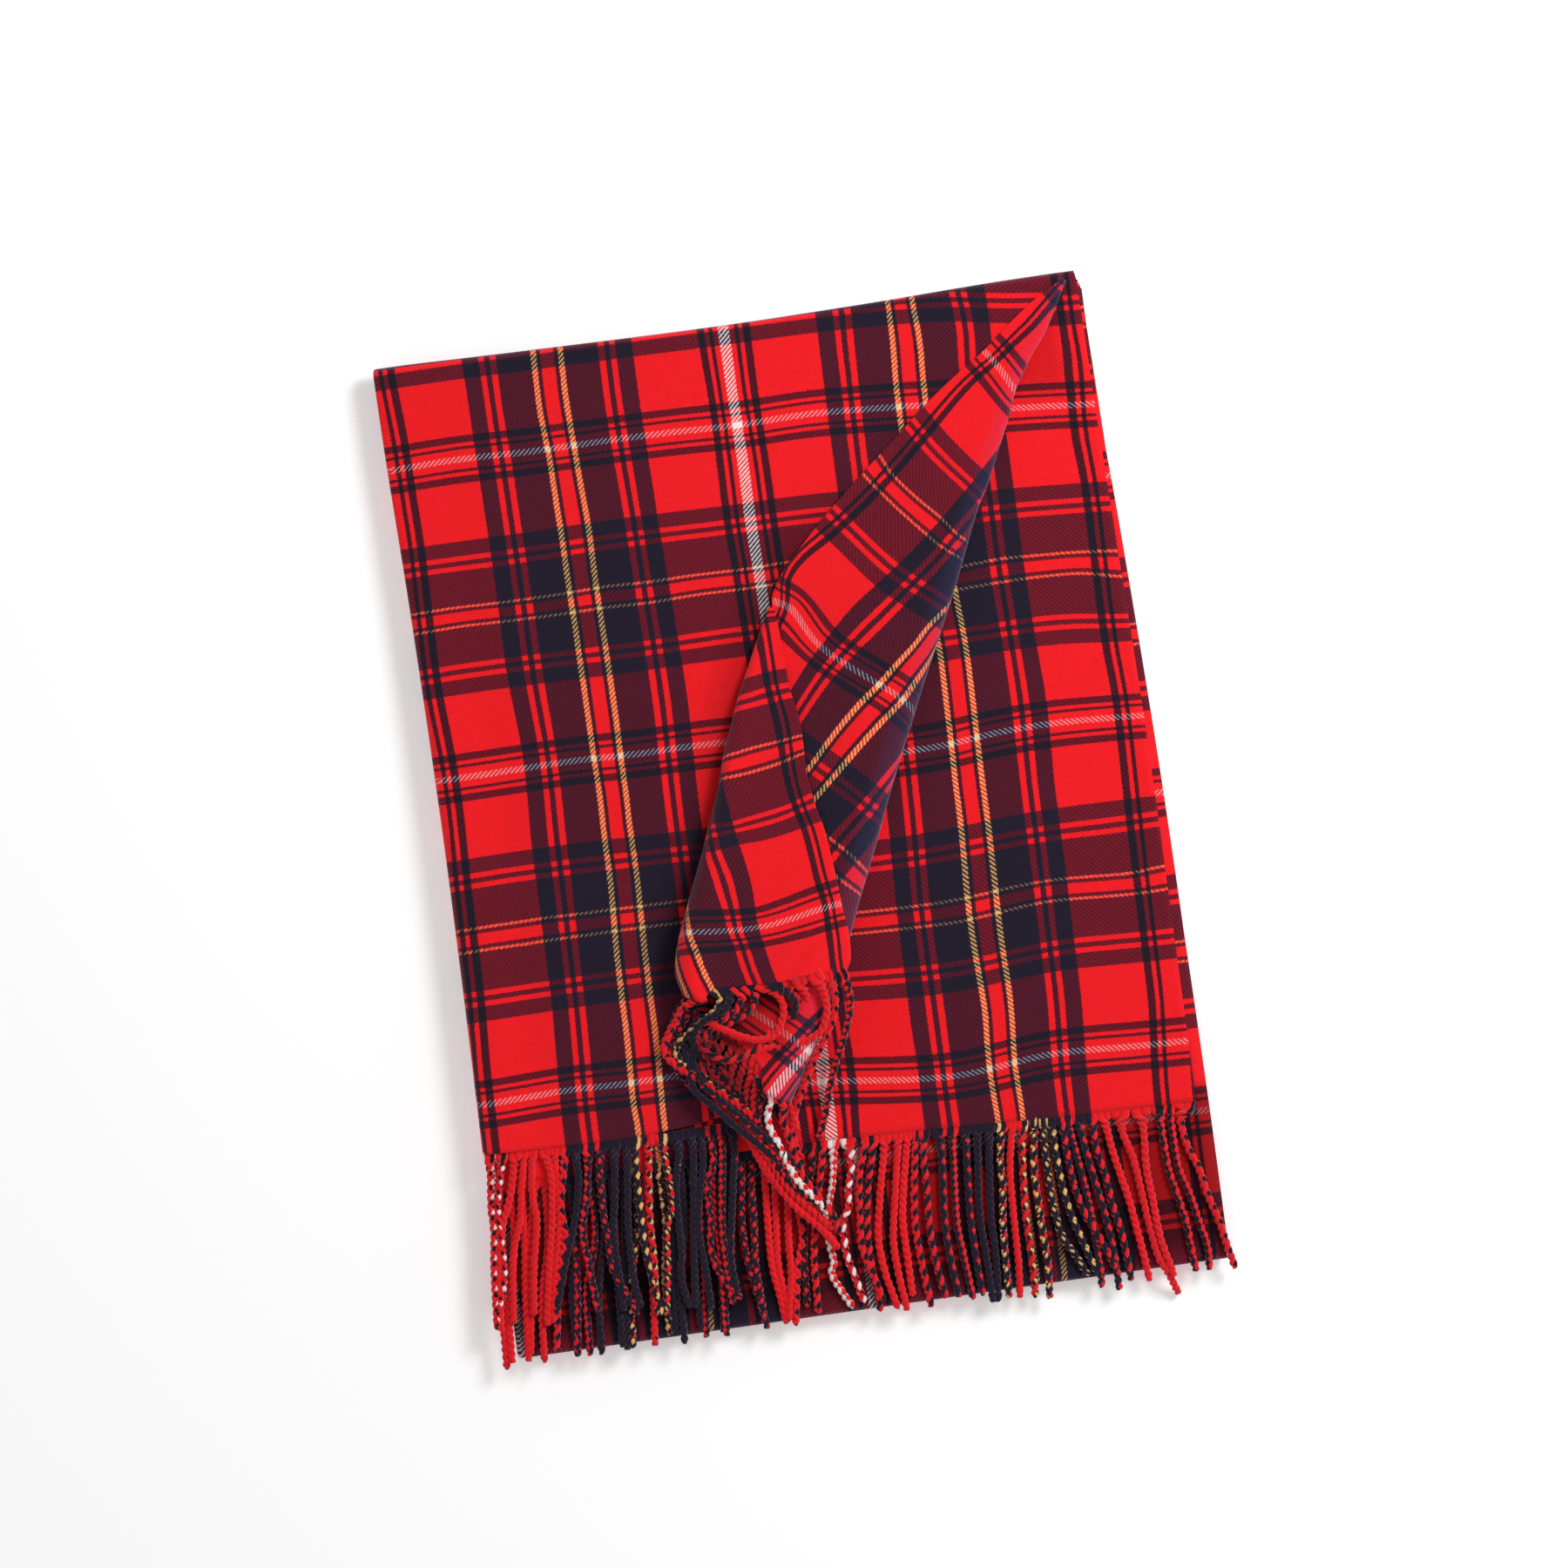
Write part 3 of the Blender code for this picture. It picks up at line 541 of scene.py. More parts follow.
def yarn_material():
    """Twisted fringe yarn that keeps the colours of the warp it is made of."""
    n = Nodes("fringe_yarn")
    x, y = n.uv("cloth")
    level, rise = n.uv("round")
    lay, spread = n.uv("lay")
    radius = n.math("SQRT", n.math("ADD", n.math("MULTIPLY", level, level), n.math("MULTIPLY", rise, rise)))
    turned = n.math("SUBTRACT", n.math("MULTIPLY", level, n.math("COSINE", lay)), n.math("MULTIPLY", rise, n.math("SINE", lay)))
    x = n.math("ADD", x, n.math("MULTIPLY", n.math("DIVIDE", turned, n.math("MAXIMUM", radius, 0.1)), spread))
    x = n.math("MULTIPLY", x, 1000.0)
    y = n.math("MULTIPLY", y, 1000.0)
    spot = n.vector(n.math("MULTIPLY", x, 3.0), y)
    wobble = n.math("SUBTRACT", n.noise(spot, 0.8, 2.0), 0.5)
    # within a strand the yarns wander, so thin colours come and go
    along = n.math("SUBTRACT", y, 500.0)
    loose = n.math("MULTIPLY", n.math("DIVIDE", along, 9.0, clamp=True), 1.6)
    mixed = n.math("ADD", x, n.math("MULTIPLY", n.math("SUBTRACT", n.noise(spot, 0.55, 1.0), 0.5), loose))
    colour, _ = n.stripes(n.math("ADD", mixed, n.math("MULTIPLY", wobble, 0.8)), 0.0, HALF_SETT, YARN_STRIPES, True)
    fuzz = n.noise(spot, 1.4, 3.0, 0.6)
    lane = n.math("PINGPONG", n.math("ADD", n.math("DIVIDE", x, WARP_YARN), n.math("MULTIPLY", y, 0.35)), 0.5)
    tone = n.math("ADD", 0.74, n.math("ADD", n.math("MULTIPLY", fuzz, 0.36), n.math("MULTIPLY", lane, 0.36)))
    # painted shade inside the open end between flap and corner
    dim, _ = n.uv("dim")
    tone = n.math("MULTIPLY", tone, n.math("SUBTRACT", 1.0, n.math("MULTIPLY", dim, 0.72)))
    n.link(n.scale_colour(colour, tone), n.shader.inputs["Base Color"])
    n.bump(n.math("ADD", lane, fuzz), 0.00025, 0.8)
    brushed(n)
    return n.material


CLOTH = tartan_material()
YARN = yarn_material()


# --- mesh helpers -------------------------------------------------------------
class Shell:
    """Points with a cloth position, joined by faces."""

    def __init__(self):
        self.points, self.cloth, self.faces = [], [], []
        self.dim, self.fold_sheen_paint = {}, {}  # how much painted shade a point has, and how much painted sheen along a fold, where they are

    def add(self, u, v, z, cloth):
        self.points.append(place(u, v, z))
        self.cloth.append((cloth[0] / 1000, cloth[1] / 1000))
        return len(self.points) - 1

    def join(self, rows, closed=False):
        for upper, lower in zip(rows, rows[1:]):
            count = len(upper)
            for i in range(count if closed else count - 1):
                k = (i + 1) % count
                self.faces.append((upper[i], lower[i], lower[k], upper[k]))

    def build(self, name, material, bake=None):
        mesh = bpy.data.meshes.new(name)
        mesh.from_pydata(self.points, [], self.faces)
        mesh.update()
        layer = mesh.uv_layers.new(name="cloth")
        picked = np.array(self.cloth)[[loop.vertex_index for loop in mesh.loops]]
        layer.data.foreach_set("uv", picked.ravel())
        dim = np.zeros((len(self.points), 2))
        for i, part in self.dim.items():
            dim[i, 0] = part
        for i, part in self.fold_sheen_paint.items():
            dim[i, 1] = part
        layer = mesh.uv_layers.new(name="dim")
        layer.data.foreach_set("uv", dim[[loop.vertex_index for loop in mesh.loops]].ravel())
        layer = mesh.uv_layers.new(name="OFBake")
        low = np.array(self.cloth).min(axis=0)
        span = np.array(self.cloth).max(axis=0) - low
        if bake is None:
            spread = 0.02 + 0.96 * (picked - low) / span
        else:
            spread = np.array(bake)[[loop.vertex_index for loop in mesh.loops]]
        layer.data.foreach_set("uv", spread.ravel())
        mesh.uv_layers["OFBake"].active_render = True
        obj = bpy.data.objects.new(name, mesh)
        bpy.context.scene.collection.objects.link(obj)
        mesh.materials.append(material)
        mesh.shade_smooth()
        return obj


def thicken(obj, thickness=PLY):
    wall = obj.modifiers.new("ply", "SOLIDIFY")
    wall.thickness = thickness / 1000
    wall.offset = 0.0
    wall.use_even_offset = False
    return obj


# --- front panel, turned-back flap and turned-over corner: one piece of cloth --
def front_cloth():
    shell = Shell()
    first_t, last_t, stations = 3.0, 434.0, 178
    ts = [mix(first_t, last_t, j / stations) for j in range(stations + 1)]
    bend_steps, flap_steps = 12, 40
    front_steps, roll_steps = 118, 8

    # the flap, from the foot of the slanted fold over its roll to its selvedge or second fold
    flap_rows, left_ends = [], []
    for j, t_row in enumerate(ts):
        share = j / stations
        row = []
        r, axis = fold_radius(t_row), fold_axis(t_row)
        u0, v0 = from_fold(axis, t_row)
        foot = front_warp(u0, v0), front_weft(u0, v0)
        for k in range(bend_steps):
            angle = math.pi * k / bend_steps
            a = axis + r * math.sin(angle)
            z = FRONT_Z + r * (1 - math.cos(angle))
            rolled = axis + r * (math.pi - angle)
            part = smooth(angle / (math.pi / 2))
            cloth = (
                mix(foot[0], flap_warp(rolled, t_row), part),
                mix(foot[1], flap_weft(rolled, t_row), part),
            )
            u, v = from_fold(a, t_row)
            row.append(shell.add(u, v, z, cloth))
            # painted sheen over the roll of the slanted fold
            shell.fold_sheen_paint[row[-1]] = smooth(angle / 0.7) * (1 - 0.55 * smooth((angle - 1.4) / 1.7))
        for k in range(flap_steps + 1):
            part = k / flap_steps
            t = t_row - share**3 * flap_hem_drop(part)
            a = mix(fold_axis(t), edge_axis(t), part)
            u, v = from_fold(a, t)
            row.append(shell.add(u, v, flap_height(a, t), (flap_warp(a, t), flap_weft(a, t))))
            # painted sheen on the flap beside the slanted fold
            shell.fold_sheen_paint[row[-1]] = 0.45 * (1 - smooth((fold_axis(t) - a) / 7))
            # in the shade under the hem of the corner
            shell.dim[row[-1]] = 1.1 * smooth((-4.0 - a) / 8) * smooth((t - 370) / 15) * (1 - smooth((t - 408) / 12))
        flap_rows.append(row)
        left_ends.append(t)
    shell.join(flap_rows)

    # the front panel, from its tucked left fold to the foot of the slanted fold
    rows = []

    def front_row(v_at, drop, tuck_part, v_row, cloth_drop, last):
        r, axis = left_roll(v_row)
        r *= tuck_part
        lift = (2 * r - (FRONT_Z - UNDER_Z)) * tuck_part
        row = []
        for k in range(roll_steps):
            angle = math.pi * k / roll_steps
            u = axis - r * math.sin(angle)
            z = FRONT_Z + lift - 2 * r + r * (1 - math.cos(angle)) - drop
            v = v_at(u, 0.0)
            v += hollow(u, v)
            # the white stripe that the scarf is folded along stays on the underside of the fold
            top, side = front_warp(axis, v), max(2.9, front_warp(axis, v) - 1.3 * r)
            way = (math.pi - angle) / (math.pi / 2)
            across = max(3.9, mix(top, side, way)) if way < 1 else 3.9 - (way - 1) * 1.4 * r
            row.append(shell.add(u, v, z, (across, front_weft(u, v) - cloth_drop)))
        right = last[0]
        for k in range(front_steps + (0 if last[1] is not None else 1)):
            part = k / front_steps
            u = mix(axis, right, part)
            v = v_at(u, part)
            v += hollow(u, v)
            z = FRONT_Z + lift * (1 - smooth((u - axis) / 30)) - drop
            if last[1] is not None:
                z += ripple(u, v) * smooth((u - axis) / 40) * smooth((right - u) / 30) * 0.8
            row.append(shell.add(u, v, z, (max(3.9, front_warp(u, v)), front_weft(u, v) - cloth_drop)))
            shell.dim[row[-1]] = beside_flap(u, v)
        if last[1] is not None:
            row.append(last[1])
        return row

    u_first, v_first = from_fold(fold_axis(first_t), first_t)
    for k in range(8):
        angle = math.pi * (1 - k / 8)
        v = TOP_ROLL - FRONT_ROLL_R * math.sin(angle)
        drop = FRONT_ROLL_R * (1 - math.cos(angle))
        part = max(0.25, 1 - drop / (2 * FRONT_ROLL_R))
        rows.append(
            front_row(lambda u, p, v=v: v, drop, part, v, FRONT_ROLL_R * angle - (TOP_ROLL - v), (u_first + 0.6, None))
        )
    for j, t_row in enumerate(ts):
        s = j / stations
        u_end, v_end = from_fold(fold_axis(t_row), t_row)

        def v_at(u, part, s=s, u_end=u_end, v_end=v_end):
            base = mix(TOP_ROLL, front_hem(u), s)
            end = mix(TOP_ROLL, front_hem(u_end), s)
            return base + (v_end - end - hollow(u_end, end)) * part**3

        rows.append(front_row(v_at, 0.0, 1.0, mix(TOP_ROLL, 391.0, s), 0.0, (u_end, flap_rows[j][0])))
    shell.join(rows)

    # the corner, over the second fold and back across the flap
    corner_rows = []
    turn_steps, corner_steps = 14, 34
    for j, t_left in enumerate(left_ends):
        if t_left < 205:
            continue
        share = (t_left - 205) / (left_ends[-1] - 205)
        r, axis = edge_radius(t_left), edge_axis(t_left)
        foot = flap_warp(axis, t_left), flap_weft(axis, t_left)
        row = [flap_rows[j][-1]]
        for k in range(1, turn_steps):
            angle = math.pi * k / turn_steps
            a = axis - r * math.sin(angle)
            base = flap_height(axis, t_left)
            z = base + r * (1 - math.cos(angle))
            rolled = axis - r * (math.pi - angle)
            part = smooth(angle / (math.pi / 2))
            cloth = (
                mix(foot[0], corner_warp(rolled, t_left), part),
                mix(foot[1], corner_weft(rolled, t_left), part),
            )
            u, v = from_fold(a, t_left)
            row.append(shell.add(u, v, z, cloth))
        for k in range(corner_steps + 1):
            part = k / corner_steps
            t = t_left - share**3 * corner_hem_drop(part)
            a = mix(edge_axis(t), corner_edge(t), part)
            u, v = from_fold(a, t)
            row.append(shell.add(u, v, corner_height(a, t), (corner_warp(a, t), corner_weft(a, t))))
        corner_rows.append(row)
    shell.join(corner_rows)
    return thicken(shell.build("front_cloth", CLOTH))


# --- the under panel ----------------------------------------------------------
def under_cloth():
    shell = Shell()
    rows = []
    across_steps, down_steps = 120, 140

    def row_at(v_at, z_at, cloth_drop, v_row):
        row = []
        left = left_roll(v_row)[1] + 0.5
        for k in range(across_steps + 1):
            part = k / across_steps
            u = mix(left, under_right(v_row) - 1.2 * (1 - smooth((v_row + 1) / 6)), part)
            v = v_at(u)
            v += hollow(u, v)
            row.append(shell.add(u, v, z_at(u, v), (-under_warp(u, v), under_weft(u, v) - cloth_drop)))
            # in the shade under the upper end of the slanted fold
            shell.dim[row[-1]] = 0.75 * (1 - smooth((v - 44) / 22)) * (1 - smooth((u - 335) / 7))
        rows.append(row)

    for k in range(7):
        angle = math.pi * (1 - k / 7)
        v = UNDER_TOP - UNDER_ROLL_R * math.sin(angle)
        z = UNDER_Z - UNDER_ROLL_R * (1 - math.cos(angle))
        row_at(lambda u, v=v: v, lambda u, v, z=z: z, UNDER_ROLL_R * angle - (UNDER_TOP - v), v)
    for i in range(down_steps + 1):
        part = i / down_steps
        row_at(
            lambda u, part=part: mix(UNDER_TOP, under_hem(u), part),
            lambda u, v: UNDER_Z + 0.35 * ripple(u + 90, v + 40) * smooth((u - 150) / 60) * smooth((v - 10) / 30),
            0.0,
            mix(UNDER_TOP, 410.0, part),
        )
    shell.join(rows)
    return thicken(shell.build("under_cloth", CLOTH))


# --- the hidden layers --------------------------------------------------------
def stack_cloth():
    """The rest of the scarf: two plies that share a left fold, led down, up and down again under the top."""
    shell = Shell()
    across = 46
    ply_gap = 1.0  # half the distance between the two plies
    path = []  # (v, z, outward turn, length along the cloth, layer)

    def run(v0, v1, z, steps, layer):
        for i in range(steps + 1):
            path.append([mix(v0, v1, i / steps), z, 0.0, 0.0, layer])

    def turn(v, z0, z1, way, steps, layer):
        r = abs(z0 - z1) / 2
        for i in range(1, steps):
            angle = math.pi * i / steps
            path.append([v + way * r * math.sin(angle), mix(z0, z1, (1 - math.cos(angle)) / 2), angle * way, 0.0, layer])

    run(6.0, 491.6, 9.95, 96, 2)
    turn(491.6, 9.95, 5.95, 1, 9, 2.5)
    run(491.6, 4.6, 5.95, 90, 3)
    turn(4.6, 5.95, 1.95, -1, 9, 3.5)
    run(4.6, 393.0, 1.95, 76, 4)
    for i, (p, q) in enumerate(zip(path, path[1:])):
        q[3] = p[3] + math.hypot(q[0] - p[0], q[1] - p[1])
    right_of = {
        2: curve(((0, 354.4), (60, 354.4), (120, 356.2), (240, 358.6), (330, 359.4), (420, 359.6), (500, 359.2))),
        3: curve(((0, 353.8), (160, 355.8), (330, 357.0), (500, 357.8))),
        4: curve(((0, 353.0), (200, 355.4), (400, 357.4), (500, 356.6))),
    }
    rows = []
    for i, (v, z, _, way, layer) in enumerate(path):
        p, q = path[max(0, i - 1)], path[min(len(path) - 1, i + 1)]
        step = math.hypot(q[0] - p[0], q[1] - p[1]) or 1.0
        n_v, n_z = -(q[1] - p[1]) / step, (q[0] - p[0]) / step  # up on the first run
        low, high = int(math.floor(layer)), int(math.ceil(layer))
        right = mix(right_of[low](v), right_of[high](v), layer - low)
        left = 3.4 + 0.5 * math.sin(v / 57 + layer)
        row = []
        for side in (1, -1):
            cells = range(across, -1, -1) if side == 1 else range(across + 1)
            shift = 0.5 * math.sin(v / 83 + 2 * layer + side)
            for k in cells:
                u = mix(left, right + shift, k / across)
                pattern = (side * -350.0 * (u - left) / (right + shift - left), -way - 18.5)
                row.append(shell.add(u, v + side * ply_gap * n_v, z + side * ply_gap * n_z, pattern))
            if side == 1:
                for m in (1, 2, 3):
                    angle = math.pi * m / 4
                    out = ply_gap * math.cos(angle)
                    u = left - ply_gap * math.sin(angle) * 1.3
                    row.append(shell.add(u, v + out * n_v, z + out * n_z, (0.0, -way - 18.5)))
        rows.append(row)
    shell.join(rows)
    for i, p in enumerate(shell.points):
        shell.points[i] = (p[0], p[1], max(p[2], 0.00078))
    return thicken(shell.build("stack_cloth", CLOTH, bake=None))


# --- twisted tassels ----------------------------------------------------------
ROPE_TURN = 7.6  # one full turn of the two strands
STRAND = 1.46
RING = 7
STEP = 0.95


def smooth_path(points):
    """Points every STEP along a soft curve through the given ones, with the way travelled."""
    pts = [np.array(p, dtype=float) for p in points]
    ext = [2 * pts[0] - pts[1], *pts, 2 * pts[-1] - pts[-2]]
    fine = []
    for i in range(1, len(ext) - 2):
        p0, p1, p2, p3 = ext[i - 1 : i + 3]
        for k in range(12):
            s = k / 12
            fine.append(
                0.5 * (2 * p1 + (p2 - p0) * s + (2 * p0 - 5 * p1 + 4 * p2 - p3) * s**2 + (3 * p1 - p0 - 3 * p2 + p3) * s**3)
            )
    fine.append(pts[-1])
    fine = np.array(fine)
    way = np.concatenate([[0], np.cumsum(np.linalg.norm(np.diff(fine, axis=0), axis=1))])
    count = max(8, int(way[-1] / STEP))
    at = np.linspace(0, way[-1], count)
    return np.stack([np.interp(at, way, fine[:, i]) for i in range(3)], axis=1), at


def in_the_mouth(u, v, z):
    """How deep in the shade of the open end between flap and corner a point lies."""
    du, dv = u - 130.0, v - 364.0
    along, across = (0.66 * du + 0.75 * dv) / 27, (0.75 * du - 0.66 * dv) / 15
    return smooth(1.55 - math.hypot(along, across)) * smooth((29.0 - z) / 3.5)


class Fringe:
    """Two-strand ropes joined into one mesh. Each keeps the warp colours of the hem it leaves."""

    def __init__(self, strands):
        self.shell, self.count, self.used = Shell(), strands, 0
        self.bake, self.round, self.lay = [], [], []

    def rope(self, points, width, warp, hand=1, start=0.0, thin=1.0):
        """points: from the hem to the tip. width: of hem gathered. warp: cloth position of its two sides."""
        path, way = smooth_path(points)
        length = way[-1]
        forward = np.gradient(path, axis=0)
        forward /= np.linalg.norm(forward, axis=1)[:, None]
        side = np.cross(np.tile([0.0, 0.0, 1.0], (len(path), 1)), forward)
        side /= np.linalg.norm(side, axis=1)[:, None] + 1e-9
        if side[0][0] < 0:
            side = -side
        rise = np.cross(forward, side)
        rise *= np.where(rise[:, 2:] < 0, -1.0, 1.0)
        middle, quarter = (warp[0] + warp[1]) / 2, (warp[1] - warp[0]) / 4
        for sign in (-1, 1):
            rings = []
            for p, s, x, y in zip(path, way, side, rise):
                gather = smooth((s - 2.0) / 11.0)
                angle = start * gather + hand * 2 * math.pi / ROPE_TURN * max(0.0, s - 3.5 - 2.5 * math.exp(-max(0, s - 3.5) / 5))
                if s < 3.5:
                    angle = 0.0
                end = max(0.0, 1 - ((s - length + 2.2) / 2.2) ** 2) ** 0.5 if s > length - 2.2 else 1.0
                off = mix(width / 4, 0.58 * thin, gather)
                wide = mix(width / 4 + 0.25, STRAND * thin, gather) * max(0.12, end)
                thick = mix(0.72, STRAND * thin, gather) * max(0.12, end)
                centre = p + sign * off * (math.cos(angle) * x + math.sin(angle) * y)
                ring = []
                for k in range(RING):
                    turn = 2 * math.pi * k / RING
                    spun = turn + angle
                    q = centre + wide * math.cos(spun) * x + thick * math.sin(spun) * y
                    ring.append(self.shell.add(q[0], q[1], q[2], (middle + sign * quarter, 500 + s)))
                    self.shell.dim[ring[-1]] = in_the_mouth(*q)
                    self.bake.append(((self.used + 0.04 + 0.92 * k / RING) / self.count, 0.01 + 0.98 * s / length))
                    self.round.append((math.cos(turn), math.sin(turn)))
                    # a strand is spun against the way the two are laid, so each yarn comes up once in a turn
                    self.lay.append((2 * angle - math.pi / 2 * smooth((s - 2) / 8), quarter / 1000))
                rings.append(ring)
            self.shell.join(rings, closed=True)
            self.shell.faces.append(tuple(rings[-1]))
            self.shell.faces.append(tuple(reversed(rings[0])))
            self.used += 1

    def build(self, name):
        piece = self.shell.build(name, YARN, bake=self.bake)
        mesh = piece.data
        picked = [loop.vertex_index for loop in mesh.loops]
        for layer, values in (("round", self.round), ("lay", self.lay)):
            mesh.uv_layers.new(name=layer).data.foreach_set("uv", np.array(values)[picked].ravel())
        # the last face round a strand ends a whole turn on, not back at its start
        spread = mesh.uv_layers["OFBake"].data
        for face in mesh.polygons:
            across = [spread[i].uv[0] for i in face.loop_indices]
            if len(across) == 4 and max(across) - min(across) > 0.5 / self.count:
                for i, x in zip(face.loop_indices, across):
                    if max(across) - x > 0.5 / self.count:
                        spread[i].uv[0] = x + 0.92 / self.count
        mesh.uv_layers["OFBake"].active_render = True
        return piece


def spread_roots(roots, first, last):
    """The share of the hem that each tassel gathers."""
    bounds = [first] + [(a + b) / 2 for a, b in zip(roots, roots[1:])] + [last]
    return list(zip(bounds, bounds[1:]))


def lengthen(points, target):
    """Carries a path on in its own direction until it is as long as a tassel."""
    total = sum(math.dist(p, q) for p, q in zip(points, points[1:]))
    if total < target:
        (x0, y0), (x1, y1) = points[-2], points[-1]
        step = math.hypot(x1 - x0, y1 - y0)
        more = target - total
        points = list(points) + [(x1 + (x1 - x0) / step * more * 0.85, y1 + (y1 - y0) / step * more)]
    return points


# Middle lines of the tassels that show, from near the hem to where they are lost to sight.
FRONT_ROPES = (
    (0, ((1.4, 390.1), (0.5, 403.1), (-1.3, 418.2), (-1.6, 430.0), (-3.9, 446.3), (-5.5, 463.6))),
    (1, ((6.7, 393.0), (5.2, 403.8), (1.8, 418.6), (1.3, 433.9), (0.6, 451.3), (-4.4, 468.1))),
    (2, ((14.3, 391.9), (9.1, 413.1), (2.4, 429.7), (-1.4, 446.6), (-4.0, 468.2))),
    (3, ((18.6, 392.5), (14.3, 413.8), (12.0, 426.6), (6.1, 443.3), (2.5, 469.1))),
    (4, ((21.4, 397.3), (19.8, 414.6), (20.2, 427.8), (15.8, 449.1), (12.8, 470.6))),
    (5, ((29.6, 391.9), (30.5, 407.4), (27.9, 428.9), (23.5, 450.2), (19.6, 471.5))),
    (6, ((33.0, 399.0), (32.7, 416.5), (30.7, 433.7), (26.5, 450.6), (22.2, 471.9))),
    (7, ((39.5, 393.3), (36.1, 408.2), (33.1, 423.1), (33.1, 438.4), (27.7, 455.2), (23.1, 472.0))),
    (8, ((43.1, 396.0), (43.8, 409.3), (40.8, 424.2), (36.1, 438.8), (32.7, 447.1), (25.4, 468.0))),
    (9, ((50.4, 397.1), (46.9, 418.5), (42.3, 435.3), (42.9, 452.9), (44.0, 472.8))),
    (10, ((56.7, 395.8), (54.4, 408.6), (53.4, 428.2), (54.1, 441.4), (54.2, 456.7), (60.6, 473.0))),
    (11, ((62.8, 398.8), (60.6, 420.4), (57.3, 437.5), (57.0, 455.0), (57.0, 476.9))),
    (12, ((70.7, 395.6), (67.9, 412.7), (65.2, 434.2), (64.1, 451.6), (64.0, 464.7), (65.6, 478.1))),
    (13, ((73.0, 404.7), (72.4, 417.7), (71.7, 435.1), (71.6, 448.3), (72.9, 463.8), (74.5, 477.2))),
    (14, ((80.9, 401.4), (77.4, 422.8), (76.0, 435.8), (75.1, 457.5), (72.9, 479.1))),
    (15, ((86.8, 400.0), (88.3, 420.0), (87.6, 430.8), (83.5, 441.2), (81.5, 458.4), (78.3, 477.7))),
    (16, ((95.0, 403.4), (91.3, 420.4), (90.1, 437.8), (89.6, 450.8), (87.6, 468.1), (90.0, 481.6))),
    (17, ((102.3, 404.5), (97.4, 438.8), (92.2, 481.9))),
    (18, ((106.4, 409.4), (99.6, 439.1), (100.0, 461.1), (100.2, 480.8))),
    (19, ((111.6, 410.2), (106.8, 422.6), (106.0, 440.0), (104.2, 452.9), (106.7, 466.4), (115.6, 480.8))),
    (20, ((116.5, 406.5), (111.6, 440.8), (110.9, 458.2), (111.0, 475.8))),
    (21, ((122.5, 407.3), (118.6, 428.7), (113.5, 458.6), (114.0, 476.2))),
)
